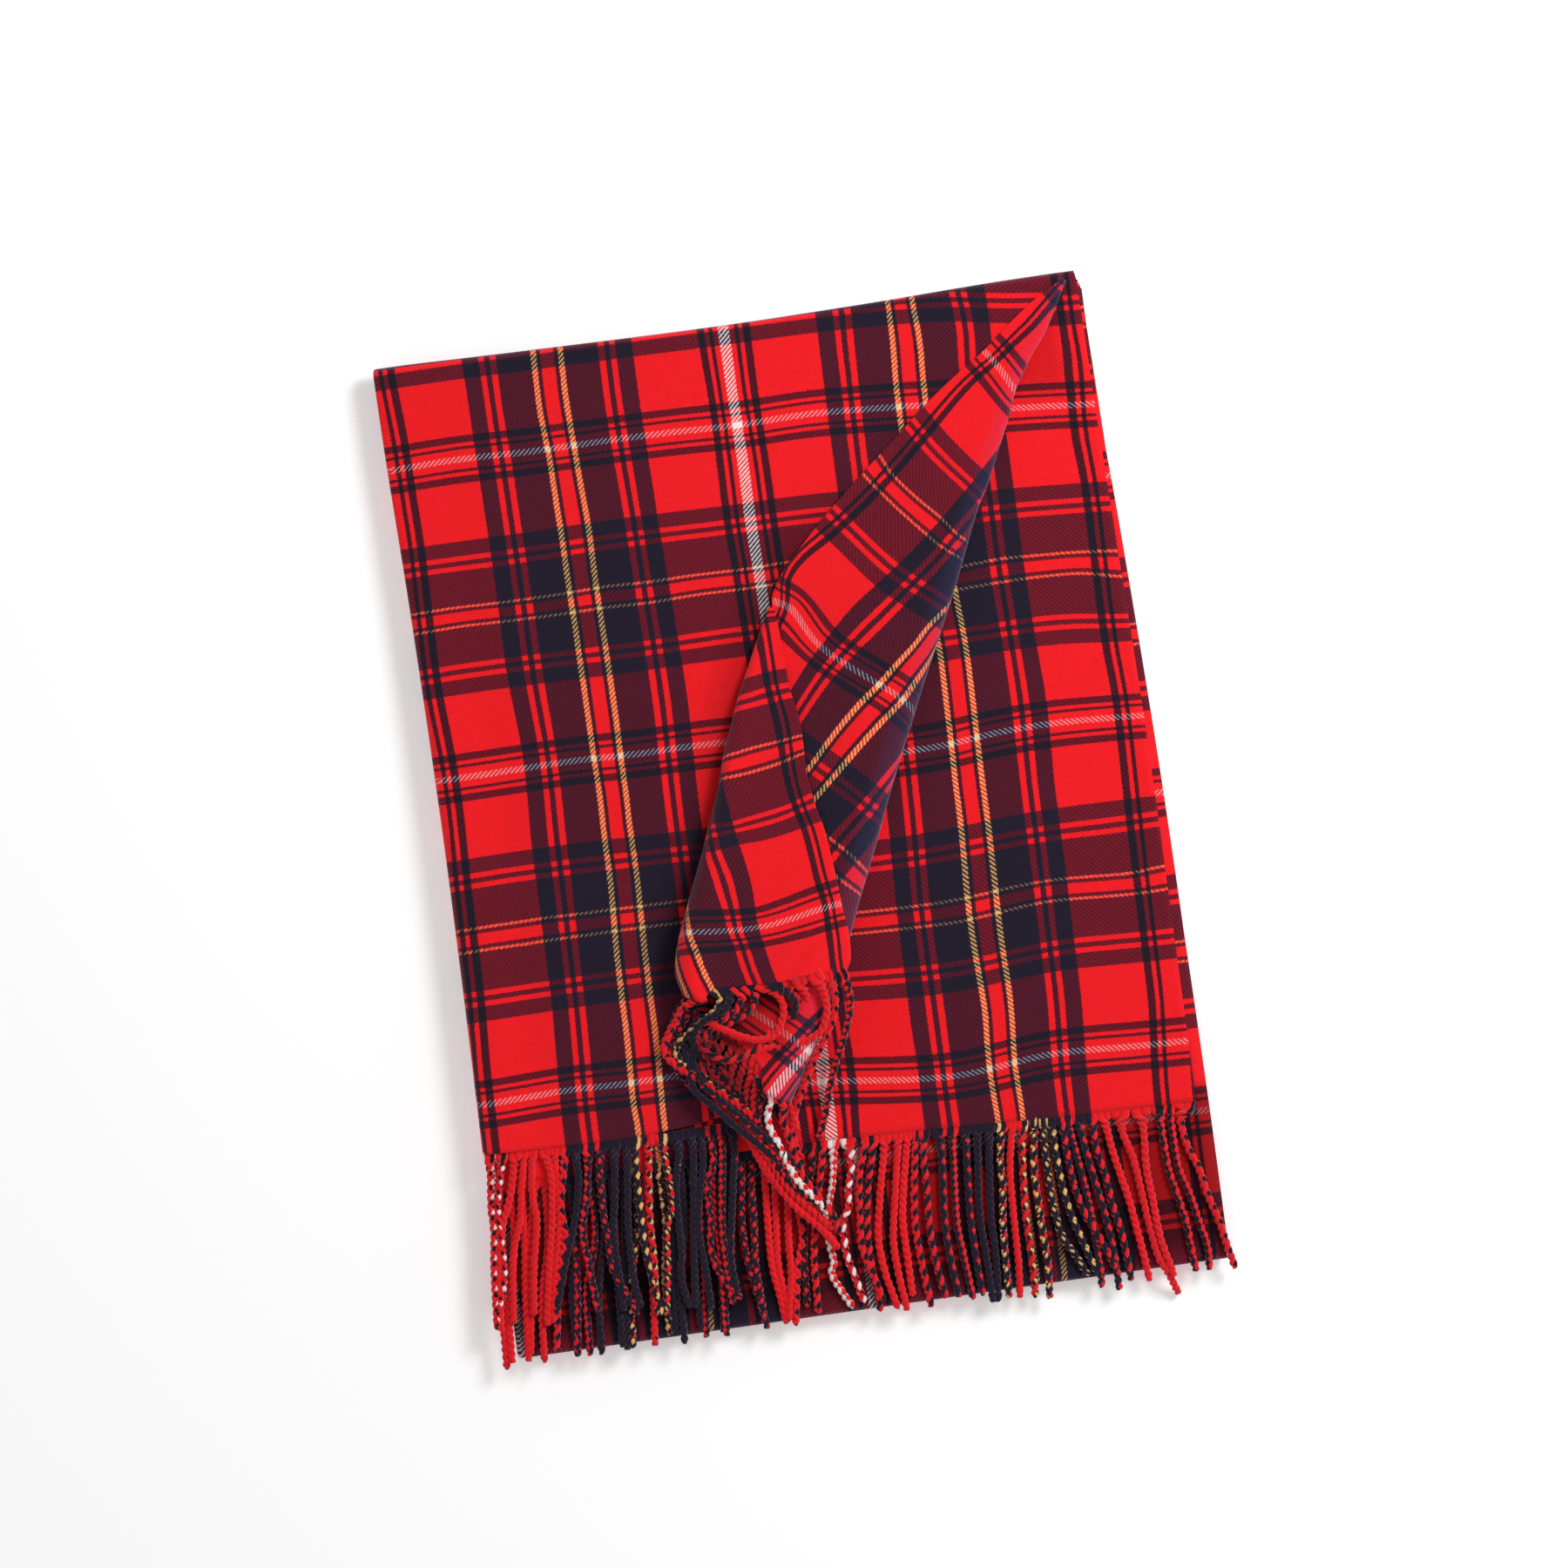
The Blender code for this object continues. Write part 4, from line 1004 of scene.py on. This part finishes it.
UNDER_ROPES = (
    (15, ((124.1, 420.7), (121.1, 442.2), (121.4, 464.1), (124.2, 482.0))),
    (16, ((129.9, 417.1), (128.0, 430.0), (127.1, 443.0), (124.9, 464.6), (125.2, 477.8))),
    (17, ((135.9, 418.0), (133.9, 444.0), (133.0, 465.8), (134.9, 483.6))),
    (18, ((140.4, 423.0), (137.0, 453.2), (136.0, 466.2), (137.0, 483.9))),
    (19, ((146.9, 423.9), (143.0, 454.1), (141.9, 471.4), (139.2, 484.2))),
    (20, ((153.5, 420.5), (150.2, 437.6), (149.9, 455.0), (145.9, 467.6), (142.6, 484.7))),
    (21, ((159.1, 421.3), (153.0, 442.3), (149.5, 463.7), (147.8, 485.4))),
    (22, ((164.8, 417.7), (159.6, 438.9), (154.3, 464.4), (153.1, 481.8))),
    (23, ((170.4, 409.8), (169.2, 427.1), (166.0, 437.6), (161.9, 448.0), (163.0, 461.3), (163.5, 470.1), (161.6, 474.2), (164.1, 481.2), (169.2, 491.5))),
    (24, ((179.4, 411.0), (178.8, 424.1), (175.6, 434.6), (174.8, 443.2), (170.9, 449.3), (170.2, 460.1), (170.7, 468.9), (172.7, 476.7))),
    (25, ((186.1, 416.4), (182.1, 428.9), (179.5, 450.5), (178.5, 463.5), (181.8, 477.1), (185.1, 490.7))),
    (26, ((190.4, 417.0), (185.8, 433.9), (182.9, 451.0), (181.7, 468.3), (182.7, 486.0))),
    (27, ((196.6, 413.5), (191.2, 439.0), (187.3, 460.3), (188.2, 478.0), (191.1, 491.6))),
    (28, ((203.9, 414.5), (199.5, 435.8), (194.6, 461.4), (194.7, 478.9), (195.9, 492.2))),
    (29, ((208.1, 415.1), (203.4, 436.4), (200.5, 453.5), (200.3, 473.2))),
    (30, ((212.4, 415.7), (207.9, 441.4), (206.3, 458.7), (206.9, 476.3), (208.3, 494.0))),
    (31, ((215.3, 420.5), (214.4, 442.3), (213.4, 455.3), (213.5, 472.8), (215.8, 490.7))),
    (32, ((224.1, 426.2), (221.1, 456.4), (221.5, 478.4), (222.8, 493.9))),
    (33, ((229.7, 427.0), (227.1, 457.3), (228.1, 474.9), (229.5, 492.7))),
    (34, ((236.7, 423.6), (234.2, 453.9), (234.1, 475.8), (234.7, 493.4))),
    (35, ((242.3, 424.4), (238.9, 454.6), (239.3, 476.5), (239.5, 496.3))),
    (36, ((247.9, 425.2), (244.5, 455.4), (244.0, 477.2), (242.5, 496.7))),
    (37, ((255.6, 417.5), (252.9, 430.3), (252.3, 443.3), (249.9, 460.5), (248.7, 477.9), (247.8, 499.6))),
    (38, ((260.3, 418.2), (257.0, 435.2), (255.8, 452.6), (255.1, 470.0), (254.6, 483.1), (253.0, 500.4))),
    (39, ((264.8, 423.2), (261.8, 453.4), (261.5, 470.9), (261.4, 484.0), (260.7, 501.5))),
    (40, ((272.6, 417.7), (269.0, 436.9), (268.7, 454.4), (268.8, 472.0), (269.2, 485.1), (267.9, 500.3))),
    (41, ((275.6, 424.7), (275.4, 437.9), (275.6, 455.4), (276.5, 464.3), (278.6, 474.2), (283.1, 482.7))),
    (41, ((280.5, 424.5), (280.9, 438.0), (281.9, 451.0), (284.0, 463.0), (287.6, 476.0), (291.5, 489.0))),
    (42, ((285.9, 419.6), (286.4, 435.0), (287.5, 448.3), (290.4, 461.9), (295.3, 473.5), (299.8, 485.1))),
    (43, ((289.5, 422.3), (291.9, 442.4), (293.7, 460.2), (294.2, 475.6), (294.6, 491.0), (294.1, 501.0))),
    (44, ((294.6, 423.1), (296.2, 436.4), (297.6, 445.4), (299.5, 456.6), (301.0, 467.8), (302.4, 485.5), (302.8, 500.9))),
    (45, ((300.8, 419.6), (301.1, 432.8), (303.6, 446.2), (304.8, 459.6), (307.2, 473.0), (308.4, 486.4), (309.1, 499.6))),
    (46, ((307.3, 420.5), (308.9, 433.9), (311.3, 447.3), (313.8, 460.8), (315.4, 474.2), (317.0, 487.6))),
    (47, ((314.2, 414.9), (315.2, 426.0), (318.6, 439.6), (320.4, 457.4), (321.6, 470.7), (323.9, 488.6), (327.8, 497.9), (332.2, 510.3))),
    (48, ((326.2, 416.6), (325.6, 427.5), (324.4, 444.8), (325.4, 462.5), (326.4, 480.1), (329.8, 496.0))),
    (49, ((334.8, 417.8), (334.6, 428.7), (335.1, 446.3), (337.6, 459.8), (340.0, 473.3), (340.8, 486.6), (341.6, 496.3))),
    (50, ((340.4, 418.6), (339.7, 429.5), (340.3, 447.1), (344.0, 460.8), (346.5, 474.3), (349.0, 487.7), (348.5, 499.9))),
    (51, ((344.5, 423.6), (346.1, 437.0), (350.2, 448.5), (352.6, 462.0), (356.4, 475.7), (358.8, 489.1), (361.5, 500.9))),
)
CORNER_ROPES = (
    (0.04, ((107.8, 332.1, 31.0), (102.9, 338.8, 26.0), (97.5, 345.9, 23.0), (94.9, 351.7, 22.0), (96.4, 356.7, 22.0), (101.8, 362.3, 23.0), (109.6, 368.7, 24.5), (117.5, 375.1, 25.5), (127.2, 383.9, 26.0), (137.4, 395.0, 25.0)), None),
    (0.12, ((126.5, 329.9, 34.0), (124.0, 335.3, 31.0), (117.2, 340.0, 28.0), (109.5, 345.0, 25.0), (102.6, 350.2, 23.0), (101.0, 355.2, 22.5), (106.2, 362.1, 23.0), (115.8, 371.3, 24.0), (125.6, 379.7, 24.5), (133.2, 387.8, 24.0)), None),
    (0.20, ((130.8, 330.5, 35.0), (127.8, 336.2, 33.0), (120.9, 338.8, 31.0), (114.3, 342.2, 28.5), (109.9, 348.6, 25.5), (111.1, 355.3, 24.0), (116.9, 363.6, 24.0), (124.2, 373.8, 24.5), (132.7, 384.7, 24.0), (139.8, 396.6, 23.0)), None),
    (0.29, ((137.4, 330.6, 34.0), (132.9, 337.4, 31.0), (124.8, 341.9, 28.5), (118.0, 346.7, 26.0), (114.5, 352.7, 25.0), (117.7, 358.0, 25.5), (125.9, 361.8, 26.5), (134.9, 360.5, 28.0), (143.3, 356.4, 29.0), (149.1, 349.8, 29.0)), (217, 223)),
    (0.37, ((143.7, 332.4, 34.0), (139.3, 338.7, 31.0), (130.8, 342.8, 28.0), (122.4, 346.9, 25.5), (120.1, 353.5, 24.0), (122.5, 364.4, 24.5), (123.9, 376.0, 24.5), (128.3, 385.4, 24.0), (136.3, 397.0, 23.0)), (217.5, 223.5)),
    (0.45, ((154.3, 332.1, 35.0), (156.8, 338.6, 33.0), (154.9, 346.2, 31.5), (150.0, 352.5, 31.0), (142.4, 353.6, 30.5), (134.1, 350.7, 30.0), (126.0, 346.1, 29.0), (118.7, 341.5, 27.5), (113.3, 342.9, 25.5), (112.9, 351.6, 24.0), (117.8, 366.4, 24.0), (125.8, 378.0, 24.0), (133.2, 387.8, 23.0)), (200, 206)),
    (0.54, ((161.7, 334.9, 34.5), (162.0, 342.0, 32.0), (158.1, 348.0, 29.5), (151.4, 352.3, 28.0), (143.0, 355.9, 27.0), (137.6, 363.0, 25.5), (138.1, 374.5, 25.0), (144.3, 386.8, 24.5), (149.3, 398.0, 23.0)), None),
    (0.62, ((164.9, 337.1, 31.0), (161.2, 344.5, 28.0), (155.2, 349.8, 27.0), (148.4, 354.9, 26.5), (143.1, 361.2, 25.5), (143.8, 371.8, 25.0), (147.8, 383.3, 24.5), (151.9, 394.9, 23.0)), None),
    (0.71, ((169.4, 339.5, 30.0), (165.3, 346.8, 27.5), (158.3, 352.8, 26.5), (151.7, 358.9, 26.0), (149.1, 368.2, 25.5), (150.7, 378.9, 25.0), (153.6, 392.0, 24.0), (154.9, 401.4, 22.0)), None),
    (0.80, ((176.8, 330.9, 36.5), (178.2, 339.0, 35.5), (177.1, 346.8, 34.5), (173.1, 353.6, 33.3), (166.0, 357.0, 32.0), (157.1, 358.4, 31.0), (147.0, 358.2, 30.0), (139.7, 360.7, 28.0), (136.5, 367.3, 26.0), (138.0, 378.9, 25.0)), (200, 206)),
    (0.88, ((182.7, 335.3, 35.0), (181.4, 344.7, 33.5), (177.0, 353.8, 31.0), (169.7, 365.0, 28.5), (161.8, 377.9, 26.0), (156.2, 389.3, 24.0), (152.3, 401.1, 22.0), (153.4, 411.7, 20.5)), None),
    (0.96, ((189.8, 334.5, 35.0), (189.3, 344.5, 33.0), (184.1, 359.1, 28.0), (177.9, 372.3, 23.0), (173.7, 383.1, 20.0), (169.1, 397.3, 18.5), (164.6, 407.2, 18.5)), None),
)
FLAP_ROPES = (
    (0.03, ((144.2, 384.1, 31.0), (141.6, 390.3, 28.0), (141.5, 397.3, 27.0), (143.7, 403.3, 26.5), (146.1, 410.7, 26.0), (148.6, 418.0, 25.5), (151.5, 425.5, 25.0), (157.3, 433.7, 24.0), (165.0, 444.5, 22.0)), None),
    (0.10, ((149.9, 387.6, 30.0), (148.1, 393.5, 26.5), (149.9, 402.5, 24.5), (151.8, 414.1, 24.0), (155.0, 425.1, 23.5), (160.6, 435.5, 22.5), (166.5, 446.4, 21.0), (168.7, 455.1, 20.0)), None),
    (0.18, ((141.4, 379.3, 29.0), (137.5, 388.4, 26.0), (136.4, 398.8, 24.5), (138.8, 409.7, 24.5), (145.7, 422.9, 24.3), (155.0, 434.3, 23.5), (164.0, 442.1, 22.0), (168.3, 448.9, 21.0)), None),
    (0.25, ((138.7, 373.7, 28.0), (135.5, 383.8, 25.5), (135.5, 399.5, 24.0), (139.9, 414.2, 24.0), (147.0, 429.2, 23.3), (156.3, 441.0, 22.0), (165.6, 452.4, 20.5)), None),
    (0.32, ((136.7, 369.0, 27.0), (132.1, 380.2, 24.5), (132.1, 395.5, 23.0), (135.5, 411.4, 22.7), (142.0, 427.6, 22.2), (149.8, 440.1, 21.5), (161.2, 452.7, 20.5), (167.2, 462.8, 19.5)), None),
    (0.40, ((133.9, 364.3, 26.0), (128.8, 375.4, 24.0), (128.4, 390.6, 22.6), (132.3, 406.5, 22.0), (138.0, 421.8, 21.5), (146.3, 433.9, 21.0), (155.7, 445.3, 20.3), (165.8, 460.4, 19.3)), None),
    (0.47, ((131.0, 360.3, 26.0), (125.6, 370.5, 24.2), (126.4, 386.0, 23.6), (132.3, 400.0, 24.0), (140.4, 414.3, 24.2), (149.3, 428.2, 23.3), (157.4, 439.5, 22.0)), None),
    (0.54, ((128.0, 356.8, 25.5), (121.6, 367.8, 24.0), (123.9, 382.1, 23.8), (131.8, 397.3, 24.5), (142.0, 412.3, 24.8), (152.3, 426.0, 23.5)), None),
    (0.61, ((124.5, 353.3, 25.0), (117.6, 364.6, 23.0), (120.0, 378.9, 22.8), (128.8, 394.2, 23.2), (139.0, 408.8, 23.6), (148.8, 422.5, 23.0)), None),
    (0.68, ((121.1, 349.3, 24.5), (113.1, 359.6, 22.6), (114.9, 374.7, 22.6), (123.4, 389.0, 23.0), (134.4, 404.2, 23.3), (144.7, 417.9, 22.6)), None),
    (0.75, ((117.8, 344.9, 24.0), (108.9, 355.4, 23.0), (111.1, 370.7, 25.5), (118.6, 379.6, 26.5), (128.0, 390.6, 27.0), (137.5, 400.7, 26.6), (145.4, 409.7, 25.8), (152.3, 419.5, 24.5)), (236, 242)),
    (0.82, ((114.6, 339.6, 23.0), (105.9, 351.5, 22.2), (106.9, 372.7, 24.5), (114.7, 382.6, 25.8), (124.0, 393.5, 26.3), (133.6, 403.6, 26.0), (141.5, 412.7, 25.2), (148.4, 422.4, 24.0)), (242, 248)),
    (0.90, ((111.8, 334.8, 22.0), (101.7, 347.4, 20.5), (100.6, 361.3, 20.2), (108.3, 375.1, 20.4), (119.6, 388.1, 20.6), (131.2, 401.6, 20.6), (140.2, 412.5, 20.4)), None),
    (0.97, ((109.0, 330.1, 21.0), (100.4, 341.1, 20.0), (97.3, 353.8, 19.6), (102.0, 366.7, 19.6), (112.0, 379.5, 19.8), (123.6, 393.5, 20.0), (133.3, 405.4, 20.0)), None),
)


def under_fringe():
    rng = random.Random(21)
    ropes = [[tuple(p) for p in row] for _, row in UNDER_ROPES]
    # those beneath the front panel's own fringe
    hidden = []
    for i in range(21):
        u = 3.4 + i * 5.7 + rng.uniform(-0.8, 0.8)
        drift = -9.0 + rng.uniform(-3.5, 3.5)
        bow = rng.uniform(-3.0, 3.0)
        hidden.append([(u, 414.0), (u + drift * 0.35 + bow, 440.0), (u + drift * 0.7 - bow * 0.4, 466.0), (u + drift, 494.0)])
    ropes = hidden + ropes
    roots = [r[0][0] + (r[0][0] - r[1][0]) * (r[0][1] - under_hem(r[0][0])) / (r[1][1] - r[0][1]) * 0.6 for r in ropes]
    spans = spread_roots(roots, 1.5, under_right(412.0))
    # those knotted from threads a little beside their own place
    aside = {
        21: (113.5, 119.1), 22: (115.9, 121.7), 30: (174.6, 180.4), 32: (185.2, 191.2), 36: (216.6, 222.6), 37: (217.2, 223.2),
        45: (262.0, 268.9), 46: (264.9, 271.5), 47: (267.8, 274.4), 48: (268.4, 275.2),
    }
    fringe = Fringe(2 * len(ropes))
    for i, (row, root, (lo, hi)) in enumerate(zip(ropes, roots, spans)):
        centre = (lo + hi) / 2
        hem = under_hem(centre)
        path = [(centre, hem - 1.2), (mix(centre, root, 0.3), hem + 2.5)] + [p for p in row if p[1] > hem + 6]
        free_end = i in (47, 48, 49) or i >= 54
        path = lengthen(path, (84 if free_end else 88) + rng.uniform(-5, 5))
        points = []
        layer = 0.9 if i % 3 == 1 else 0.0
        for u, v in path:
            down = v - hem
            z = mix(UNDER_Z - 0.1, 13.75 + layer * smooth((down - 20) / 30), smooth(down / 7))
            over = max(0.0, v - 488)
            points.append((u, v, max(2.5, z - 0.022 * over**2)))
        warp = aside.get(i) or (under_warp(lo, hem), under_warp(hi, hem))
        fringe.rope(points, hi - lo, warp, 1 if rng.random() < 0.7 else -1, rng.uniform(-1, 1))
    return fringe.build("under_tassels")


def front_fringe():
    rng = random.Random(5)
    ropes = [[tuple(p) for p in row] for _, row in FRONT_ROPES]
    roots = [r[0][0] for r in ropes]
    spans = spread_roots(roots, left_roll(391.0)[1] - 4.0, 126.0)
    fringe = Fringe(2 * len(ropes))
    for i, (row, root, (lo, hi)) in enumerate(zip(ropes, roots, spans)):
        centre = (lo + hi) / 2
        hem = front_hem(centre)
        path = [(centre, hem - 1.2), (mix(centre, root, 0.3), hem + 2.5)] + [p for p in row if p[1] > hem + 7]
        path = lengthen(path, 88 + rng.uniform(-4, 4))
        points = []
        layer = rng.uniform(0, 0.8)
        for u, v in path:
            down = v - hem
            loft = 4.6 * (1 - smooth((u - 3) / 26)) * (1 - smooth(down / 16))
            z = mix(FRONT_Z + loft, 16.9 + layer, smooth(down / 14))
            over = max(0.0, v - 492)
            points.append((u, v, z - 0.02 * over**2))
        warp = front_warp(lo, hem), front_warp(hi, hem)
        if i < 2:  # the first two share the white stripe of the left fold
            warp = ((1.1, 7.7), (0.9, 8.3))[i]
        fringe.rope(points, hi - lo, warp, 1 if rng.random() < 0.6 else -1, rng.uniform(-1, 1))
    return fringe.build("front_tassels")


def bundle_ropes(name, ropes, root, backward, seed):
    """The tassels that hang out of the open end between the flap and the corner, each along its own way."""
    rng = random.Random(seed)
    fringe = Fringe(2 * len(ropes))
    spans = spread_roots([row[0] for row in ropes], 0.0, 1.0)
    for (part, way, warp), (lo, hi) in zip(ropes, spans):
        a, t, z, warp_lo = root(lo)
        a2, t2, z2, warp_hi = root(hi)
        width = math.dist((a, t, z), (a2, t2, z2))
        am, tm, zm, _ = root((lo + hi) / 2)
        u, v = from_fold(am, tm)
        points = [(u, v, zm), *way]
        if warp:
            warp_lo, warp_hi = warp
        if backward:
            warp_lo, warp_hi = warp_hi, warp_lo
        fringe.rope(points, width, (warp_lo, warp_hi), 1 if rng.random() < 0.5 else -1, rng.uniform(-1, 1))
    return fringe.build(name)


def flap_root(part):
    share = mix(0.0, 1.0, part)
    t = 434.0 - flap_hem_drop(share)
    a = mix(fold_axis(t), edge_axis(t), share)
    return a, t - 0.8, flap_height(a, t), flap_warp(a, t)


def corner_root(part):
    t = 401.0 - corner_hem_drop(part)
    a = mix(edge_axis(t), corner_edge(t), part)
    return a, t - 0.8, corner_height(a, t), corner_warp(a, t)


def layer_fringe():
    """The fringe of the lowest layer's hem, hidden in the packet and seen only at its lower edge."""
    rng = random.Random(9)
    count = 52
    fringe = Fringe(2 * count)
    for i in range(count):
        u = 3.0 + (i + 0.5) * 347.0 / count
        end = u + rng.uniform(-4, 4)
        far = 393.0 + rng.uniform(86, 96)
        points = [(u, 391.0, 1.9), (mix(u, end, 0.3), 420.0, 1.9), (mix(u, end, 0.6) + rng.uniform(-2, 2), 450.0, 1.9), (end, far, 1.9)]
        fringe.rope(points, 6.6, (u - 3.3, u + 3.3), 1, 0.0, 0.92)
    return fringe.build("layer_tassels")


# --- build --------------------------------------------------------------------
front = front_cloth()
under = under_cloth()
stack = stack_cloth()
under_tassels = under_fringe()
front_tassels = front_fringe()
flap_tassels = bundle_ropes("flap_tassels", FLAP_ROPES, flap_root, True, 3)
corner_tassels = bundle_ropes("corner_tassels", CORNER_ROPES, corner_root, False, 4)
layer_tassels = layer_fringe()

for piece in (front, under, stack, under_tassels, front_tassels, flap_tassels, corner_tassels, layer_tassels):
    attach(piece, "root")
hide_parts("front_panel", "turned_back_flap", "turned_over_corner")
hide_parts("under_panel")
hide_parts("folded_layers")
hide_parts("folded_layers")
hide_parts("under_fringe")
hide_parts("front_fringe")
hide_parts("flap_fringe")
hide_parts("corner_fringe")


# --- stage, light and camera --------------------------------------------------
scene = bpy.context.scene
scene.view_settings.view_transform = "Standard"
scene.view_settings.look = "None"

floor_mesh = bpy.data.meshes.new("floor")
floor_mesh.from_pydata([(-4, -4, 0), (4, -4, 0), (4, 4, 0), (-4, 4, 0)], [], [(0, 1, 2, 3)])
floor_mesh.update()
floor = bpy.data.objects.new("floor", floor_mesh)
scene.collection.objects.link(floor)
paper = bpy.data.materials.new("pale_floor")
paper.use_nodes = True
paper.node_tree.nodes["Principled BSDF"].inputs["Base Color"].default_value = (0.93, 0.93, 0.93, 1)
paper.node_tree.nodes["Principled BSDF"].inputs["Roughness"].default_value = 0.9
paper.node_tree.nodes["Principled BSDF"].inputs["Specular IOR Level"].default_value = 0.0
# the floor glows a little, like a light table, so that the shadow on it stays pale
paper.node_tree.nodes["Principled BSDF"].inputs["Emission Color"].default_value = (1, 1, 1, 1)
paper.node_tree.nodes["Principled BSDF"].inputs["Emission Strength"].default_value = 0.28
floor_mesh.materials.append(paper)

world = bpy.data.worlds.new("studio")
world.use_nodes = True
world.node_tree.nodes["Background"].inputs[0].default_value = (1.0, 1.0, 1.0, 1)
world.node_tree.nodes["Background"].inputs[1].default_value = 0.46
scene.world = world


def softbox(name, position, size, power):
    light = bpy.data.lights.new(name, "AREA")
    light.shape = "SQUARE"
    light.size = size
    light.energy = power
    lamp = bpy.data.objects.new(name, light)
    scene.collection.objects.link(lamp)
    lamp.location = position
    direction = np.array((0.0, 0.0, 0.0)) - np.array(position)
    lamp.rotation_euler = (
        math.atan2(math.hypot(direction[0], direction[1]), -direction[2]),
        0.0,
        math.atan2(direction[1], direction[0]) - math.pi / 2,
    )
    return lamp


softbox("key_softbox", (1.06, 0.70, 1.34), 0.58, 20.0)

camera_data = bpy.data.cameras.new("camera")
camera_data.lens = 120.0
camera_data.sensor_width = 36.0
camera_data.clip_end = 20.0
camera = bpy.data.objects.new("camera", camera_data)
scene.collection.objects.link(camera)
camera.location = (-0.0014, 0.0242, 0.015 + 0.7807 * 120.0 / 36.0)
camera.rotation_euler = (0.0, 0.0, math.radians(-8.1))
scene.camera = camera
